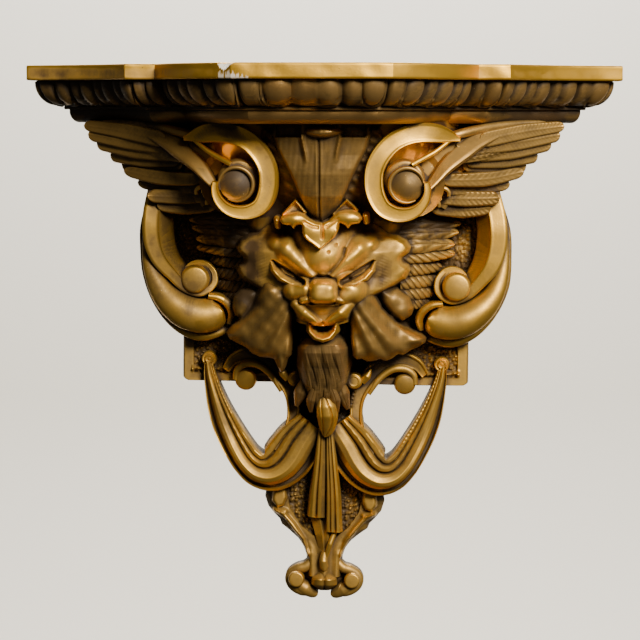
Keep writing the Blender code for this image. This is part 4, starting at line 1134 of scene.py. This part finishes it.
def swag_solids():
    """Between its outer and inner edge the cloth takes its section. With it come the ringed knob,
    the arched scroll with a beaded edge, the disc with a curl round it, the punched ground in the
    middle, and a small roundel with a stem beside the beard."""
    outer = smooth_path([(92, -166), (92, -180), (86.5, -211), (75.5, -236), (60, -257), (44, -265.5),
                         (28, -259), (15, -242), (3, -220)], 48)
    inner = smooth_path([(86.5, -166), (80.5, -183), (73, -199), (62.5, -218), (53, -232), (43, -235.5),
                         (33, -226), (25, -212), (16, -203), (5, -194)], 48)
    middle, half = (outer + inner) / 2, np.linalg.norm(outer - inner, axis=1) / 2

    def cloth(t, u):
        """The folds drift across as they run, by a slow wave, and the cloth swells in two places."""
        wide = np.interp(t, np.linspace(0, 1, len(half)), half)
        drift = 0.13 * np.sin(2 * math.pi * (1.05 * t + 0.08)) * (1 - u ** 2)
        hem = 0.22 * np.sin(2 * math.pi * t * 46) * swell(u + 0.8, 0.12) * (t < 0.5)
        return (hem - wide * swag_section(u + drift)
                + 1.3 * np.sin(2 * math.pi * (1.6 * t + 0.35 * u + 0.1)) * (1 - u ** 2))

    def beads(t, u):
        """Notches along the scroll's outer edge, by a sine, over the stretch beside the cloth."""
        return (0.9 * (np.sin(2 * math.pi * t * 44) - 1) * swell(u + 0.78, 0.2) * held((t - 0.42) * 12)
                * (t < 0.68))

    parts = both_sides(band(middle[::3], half[::3], [24, 25, 27, 30, 33, 34, 36], np.zeros_like, 190, 66,
                            cloth))
    parts += both_sides(boss(88.5, -164.5, 5.8, 25, lambda r: 0.6 * r ** 2
                             - 0.12 * np.cos(r * 4.5 * math.pi) + 0.12, rings=20, sides=60))
    channel = np.array(((-1.0, 0.3), (-0.86, 0.0), (-0.62, 0.05), (-0.5, 0.42), (0.45, 0.5), (0.6, 0.1),
                        (0.84, 0.0), (1.0, 0.3))).T
    parts += both_sides(band([(76, -173), (69, -164.5), (57, -160.5), (45, -164), (34, -174.5),
                              (25.5, -190), (24, -206), (27.5, -218), (33, -227), (38, -232.5)],
                              [3, 5.2, 6.8, 7.4, 7, 5.6, 5.0, 4.6, 3.8, 2.2],
                              [20, 24, 27, 27, 27, 27, 27, 28, 28, 27], lambda u: np.interp(u, *channel),
                              170, 34, beads))
    parts += both_sides(boss(60.5, -180, 8.2, 26, dished(0.25, 0.3, 0.8), rings=16, sides=60,
                             slant=(0.0, 0.25)))
    parts += both_sides(band([(68.5, -180), (67, -172.5), (60.5, -168), (51, -168.5), (41, -176),
                              (33.5, -188)], [2.0, 2.6, 2.8, 2.6, 2.2, 1.2], [25, 27, 28, 28, 28, 27],
                              rounded, 80, 14))
    parts += [tube(settled(band([(0, -168), (0, -190), (0, -215), (0, -235)], [34, 26, 30, 24],
                                [18, 15, 15, 15], flat, 60, 120,
                                lambda t, u: grains(u * 30, t * 70 + 0 * u, 3.2, 1.6, 9))))]
    parts += both_sides(boss(22.0, -177, 6.4, 36, lambda r: 0.08 * r ** 2
                             + 0.4 * held((r - 0.78) / 0.22) ** 2 - 0.1 * swell(r - 0.6, 0.08), rings=24))
    parts += both_sides(band([(28, -178), (32, -173), (34.5, -168)], [2.6, 3, 1], [34, 36, 34], rounded,
                             40, 14))
    return parts


swag_gilt = gilding("gilding_swags", (0.76, 0.435, 0.068), (0.28, 0.166, 0.041), (0.05, 0.0275, 0.0085),
                    wear_and_shade=0.03)
cast("swags", swag_solids(), swag_gilt)

# The knot and drop
# An oval knot gathers the swags, and two folds of cloth hang from it down the middle. All of it
# is plaster, cast with the plaque behind it.


def drop_solids():
    """The knot is a half round with one waving and one straight cut. Two long folds, a short one under
    them and a thin lip beside it hang below, each with its section in straight runs."""
    knot = band([(0.5, -187), (1.5, -196), (2.5, -205), (2, -214), (0.5, -220)], [5, 7.5, 8, 6.5, 3],
                [50, 54, 53, 47, 40], rounded, 90, 34, lambda t, u: -1.6 * swell(u - 0.45 * np.sin(3 * t),
                        0.08) - 1.0 * swell(u + 0.5, 0.07), root=0.12, tip=0.12)
    parts = [tube(settled(knot))]
    left_folds = np.array(((-1, 1.3), (-0.75, 0.5), (-0.5, 0.5), (-0.3, 0.05), (-0.05, 0.1), (0.1, 0.55),
                           (0.25, 0.15), (0.5, 0.0), (0.8, 0.2), (1, 1.2))).T
    right_folds = np.array(((-1, 1.0), (-0.7, 0.1), (-0.35, 0.0), (-0.15, 0.5), (0.05, 0.1), (0.3, 0.1),
                            (0.45, 0.55), (0.62, 0.15), (0.85, 0.2), (1, 1.2))).T
    for path, half, folds in (([(-2, -214), (-3, -240), (-4.6, -262), (-5.5, -284)], [2.6, 4.6, 6.4, 8.0],
                               left_folds), ([(4, -214), (5.5, -240), (7, -265), (7.6, -294.5)],
                                       [2.6, 4.2, 5.6, 6.4], right_folds)):
        parts.append(tube(settled(band(path, half, [37, 35, 32, 27], lambda u, f=folds: np.interp(-u, *f),
                                       90, 44))))
    fold = np.array(((-1, 0.9), (-0.5, 0.1), (0.0, 0.4), (0.2, 0.0), (1, 0.7))).T
    parts.append(tube(settled(band([(-2, -284), (-0.5, -297), (0.5, -312)], [9, 6.5, 4.5], [21, 23, 19],
                                   lambda u: np.interp(-u, *fold), 60, 26))))
    parts.append(tube(settled(band([(9, -293), (5, -303), (1, -316)], [1.6, 2, 1.6], [23, 25, 22], rounded,
                                   40, 12))))
    return parts


cast("knot_and_drop", drop_solids(), swag_gilt)

# The foot
# A small scrolled plaque with ears, a punched ground and a neck that ends in two curled hooks
# with a small leaf between them.


def foot_relief():
    """Rows run down the plaque. Its flanks are rolled back by a quarter round eight units wide, its
    ground is punched, and raised edges run in from the ears to the neck."""
    z = np.linspace(-206, -331, 156)[:, None]
    half = np.interp(-z, (206, 226, 248, 258, 264, 271, 279, 285, 289, 293, 297, 303, 309, 315, 331),
                     (26, 22, 30, 40, 44.5, 46, 43.5, 38.5, 34.5, 33, 27.5, 20.5, 16, 14, 13.5))
    x = half * np.linspace(-1, 1, 126)[None, :]
    z = z + np.zeros_like(x)
    a = np.abs(x)
    roll = held(1 - (half - a) / 8.5)
    front = 16.5 - 8.5 * roll ** 2 * (z < -240)
    field = (a < np.interp(-z, (230, 262, 280, 292, 300), (30, 31, 26, 18, 8))) & (z > -299)
    front = np.where(field, 12.2 + grains(x, z, 3.0, 3.0, 21), front)
    front = (front + rib(a, z, [(38, -281), (30, -285), (24, -292), (17, -302), (13.5, -314)], 2.0, 4.5,
                         power=3.0))
    front = front + rib(a, z, [(30, -281.5), (38, -280)], 1.8, 3.5, power=3.0)
    front = (front + form(a, z, [(29, -262), (35, -262), (40, -267), (40.5, -274), (36, -279), (31, -277),
                                 (28.5, -271)], 5.5, 2.4))
    neck = held((-303 - z) / 10)
    front = (front + neck * (1.5 + 1.8 * np.cos(x / half * 2.5 * math.pi)
                             - 5 * held((a / half - 0.8) / 0.2) ** 2))
    return np.stack([x, np.maximum(front, 1.0), z], -1)


def foot_solids():
    """The plaque and its rounded end, two hooks with discs and inner curls, the creased leaf between
    them and a bead on the neck."""
    parts = [tube(settled(walled(foot_relief())))]
    parts += [tube(settled(band([(0, -321), (0, -330), (0, -336), (0, -341.5)], [12, 18, 16, 8],
                                [11, 12, 12, 9], lens, 40, 34)))]
    parts += both_sides(band([(9, -319), (14, -324), (19.5, -326), (24.6, -329.4), (26, -334.5),
                              (22.8, -339.4), (16, -342), (11, -340)],
                              [3.5, 3.9, 4.1, 4.1, 4.2, 4.6, 5.0, 5.4], [15, 16, 16, 15, 15, 15, 16, 16],
                              rounded, 100, 20, root=0.05))
    parts += both_sides(boss(21.4, -333.2, 6.1, 20.5, dished(0.04, 0.3, 0.84), rings=14, sides=60))
    parts += both_sides(band([(22, -336), (17, -339.6), (12, -342.6), (7.6, -345), (4.9, -346)],
                             [4.2, 5.2, 5.4, 4.6, 3.5], [14, 17, 17, 15, 12], rounded, 70, 20, tip=0.2))
    parts += [tube(settled(band([(0, -327), (0, -332.5), (0, -338), (0, -342)], [5, 9.5, 10, 5.5],
                                [15, 23, 21, 12], lens, 50, 34,
                                lambda t, u: 2.4 * np.abs(np.sin(u * math.pi)) ** 0.7
                                - 1.2 * swell(u, 0.09))))]
    parts += [tube(settled(band([(0.5, -311), (-0.5, -318), (0.5, -325.5)], [2.6, 3.2, 3.2], [22, 24, 22],
                                rounded, 40, 16, tip=0.2)))]
    return parts


foot_gilt = gilding("gilding_foot", (0.68, 0.39, 0.075), (0.27, 0.16, 0.039), (0.055, 0.0305, 0.0094),
                    wear_and_shade=0.0)
cast("foot_plaque", foot_solids(), foot_gilt)

# How the gilding has worn, and where shade is painted
# Rubbed gold stands on everything proud of what is round it, and dirt lies in the hollows. The
# front is read as a map of depths, blurred at two widths, and each point is set against it. On
# top, painted shade darkens the left side, which the light from the right leaves darker, and the
# hollows under the wings.
CELL = 0.0009
MAP_LEFT = 0.26
MAP_BELOW = 0.38
MAP_CELLS = (580, 520)
NEAR_CELLS = 3.0
FAR_CELLS = 11.0


def spread(picture, cells):
    """A Gaussian blur, done by scaling the picture's frequencies."""
    fx = np.fft.fftfreq(picture.shape[0])[:, None]
    fz = np.fft.rfftfreq(picture.shape[1])[None, :]
    return np.fft.irfft2(np.fft.rfft2(picture) * np.exp(-2 * (math.pi * cells) ** 2 * (fx ** 2 + fz ** 2)),
                         s=picture.shape)


def corners_of(piece):
    """All the mesh's points as an array."""
    flat_list = np.empty(len(piece.data.vertices) * 3, np.float32)
    piece.data.vertices.foreach_get("co", flat_list)
    return flat_list.reshape(-1, 3).astype(float)


def cells_of(points):
    """Whole cell numbers across and up for each point."""
    return (((points[:, 0] + MAP_LEFT) / CELL).astype(int), ((points[:, 2] + MAP_BELOW) / CELL).astype(int))


depths = np.zeros(MAP_CELLS)
for piece in pieces:
    at = corners_of(piece)
    np.maximum.at(depths, cells_of(at), -at[:, 1])
for _ in range(2):
    around = [np.roll(depths, (i, k), (0, 1)) for i in (-1, 0, 1) for k in (-1, 0, 1)]
    depths = np.where(depths <= 0.0005, np.max(around, axis=0), depths)
near_mean, far_mean = spread(depths, NEAR_CELLS), spread(depths, FAR_CELLS)
for piece in pieces:
    at = corners_of(piece)
    x, z, out = at[:, 0], at[:, 2], -at[:, 1]
    where = cells_of(at)
    proud = (0.5 + 0.48 * np.clip((out - near_mean[where]) / 0.005, -1, 1)
             + 0.3 * np.clip((out - far_mean[where]) / 0.03, -1, 1))
    # Painted shade: the left side is darker all over, and more so on its temple, its volute and the
    # board above, as light from the right leaves them.
    proud = proud - 0.26 * held((-x - 0.05) / 0.08) * held((np.abs(z) - 0.02) / 0.03)
    temple = held((-x - 0.040) / 0.012) * held((z + 0.125) / 0.01) * held((-0.055 - z) / 0.01)
    left_board_shade = held((-x - 0.07) / 0.02) * (z > 0.045)
    left_volute_shade = (x < -0.03) * (out > 0.09) * (z > -0.06) * (z < 0.02)
    # The cuts beside the right eye are made darker too, and painted shade darkens the hollow under
    # either wing.
    right_eye = swell(x - 0.045, 0.007) * swell(z + 0.093, 0.014, 4)
    under_wing_shade = swell(np.abs(x) - 0.082, 0.022, 4) * swell(z + 0.052, 0.018, 4) * (out < 0.056)
    proud = proud - 0.5 * temple * (np.abs(x) < 0.075) - 0.16 * left_board_shade - 0.2 * left_volute_shade
    proud = proud - 0.3 * right_eye - 0.3 * under_wing_shade
    # The attribute holds the wear together with the painted shade.
    piece.data.attributes.new("wear_and_shade", "FLOAT", "POINT").data.foreach_set("value", proud.astype(np.float32))

# The photographer's stand
# A plain pale sweep of paper stands about four metres behind, with a wash of light on it. A strong
# lamp hangs high in front on the right and a weak one beside it. The camera is at the photo's
# angle, looking a little left and down.
SHEET_NEAR = 2.4
SHEET_BEND_AT = 3.2
SHEET_BEND = 0.9
SHEET_TOP = 4.0
SHEET_HALF = 5.0
FLOOR_BELOW = 1.2


def soft_light(name, place, size, watts, colour, aim=(0.0, 0.0, -0.08)):
    """A square light at a place, facing the mask unless it is aimed elsewhere."""
    lamp = bpy.data.lights.new(name, "AREA")
    lamp.size, lamp.energy, lamp.color = size, watts, colour
    made = bpy.data.objects.new(name, lamp)
    made.location = place
    made.rotation_euler = (Vector(aim) - Vector(place)).to_track_quat("-Z", "Y").to_euler()
    bpy.context.scene.collection.objects.link(made)


def paper_sweep():
    """A short floor well behind that bends up through a quarter circle into an upright sheet."""
    bend = np.linspace(0.0, math.pi / 2, 24)
    floor_at = solid_low.z - FLOOR_BELOW
    curve = np.column_stack([SHEET_BEND_AT + SHEET_BEND * np.sin(bend),
                             floor_at + SHEET_BEND * (1 - np.cos(bend))])
    side = np.vstack([[(SHEET_NEAR, floor_at)], curve, [(SHEET_BEND_AT + SHEET_BEND, SHEET_TOP)]])
    corners = [(x, y, z) for y, z in side.tolist() for x in (-SHEET_HALF, SHEET_HALF)]
    mesh = bpy.data.meshes.new("paper_sweep")
    mesh.from_pydata(corners, [], [(2 * k, 2 * k + 1, 2 * k + 3, 2 * k + 2) for k in range(len(side) - 1)])
    mesh.polygons.foreach_set("use_smooth", [True] * len(mesh.polygons))
    made = bpy.data.objects.new("paper_sweep", mesh)
    bpy.context.scene.collection.objects.link(made)
    paper = bpy.data.materials.new("paper")
    paper.use_nodes = True
    for socket, value in (("Base Color", (0.82, 0.78, 0.70, 1.0)), ("Roughness", 0.95),
                          ("Specular IOR Level", 0.0)):
        paper.node_tree.nodes["Principled BSDF"].inputs[socket].default_value = value
    mesh.materials.append(paper)


paper_sweep()
soft_light("high_front", (1.0, -2.1, 1.1), 0.7, 112.0, (1.0, 0.93, 0.80))
soft_light("right_high", (1.7, -1.0, 0.8), 0.8, 8.0, (1.0, 0.96, 0.88))
soft_light("paper_wash", (0.0, 2.4, 2.4), 1.8, 330.0, (1.0, 0.98, 0.93), aim=(0.0, 4.1, -0.6))
world = bpy.data.worlds.new("room")
bpy.context.scene.world = world
world.use_nodes = True
world.node_tree.nodes["Background"].inputs["Color"].default_value = (0.86, 0.84, 0.80, 1.0)
world.node_tree.nodes["Background"].inputs["Strength"].default_value = 0.06

CAMERA_YAW = math.radians(1.45)
CAMERA_PITCH = math.radians(4.72)
CAMERA_ROLL = math.radians(0.09)
CAMERA_AT = (0.0473, -2.0, 0.0291)
CAMERA_LENS = 145.53
CAMERA_SENSOR = 36.0
lens_data = bpy.data.cameras.new("photo_camera")
lens_data.lens = CAMERA_LENS
lens_data.sensor_width = CAMERA_SENSOR
camera = bpy.data.objects.new("photo_camera", lens_data)
bpy.context.scene.collection.objects.link(camera)
look = Vector((-math.tan(CAMERA_YAW), 1.0, -math.tan(CAMERA_PITCH) / math.cos(CAMERA_YAW)))
camera.location = CAMERA_AT
camera.rotation_mode = "QUATERNION"
camera.rotation_quaternion = look.to_track_quat("-Z", "Y") @ Quaternion((0.0, 0.0, 1.0), CAMERA_ROLL)
bpy.context.scene.camera = camera

bpy.context.view_layer.update()
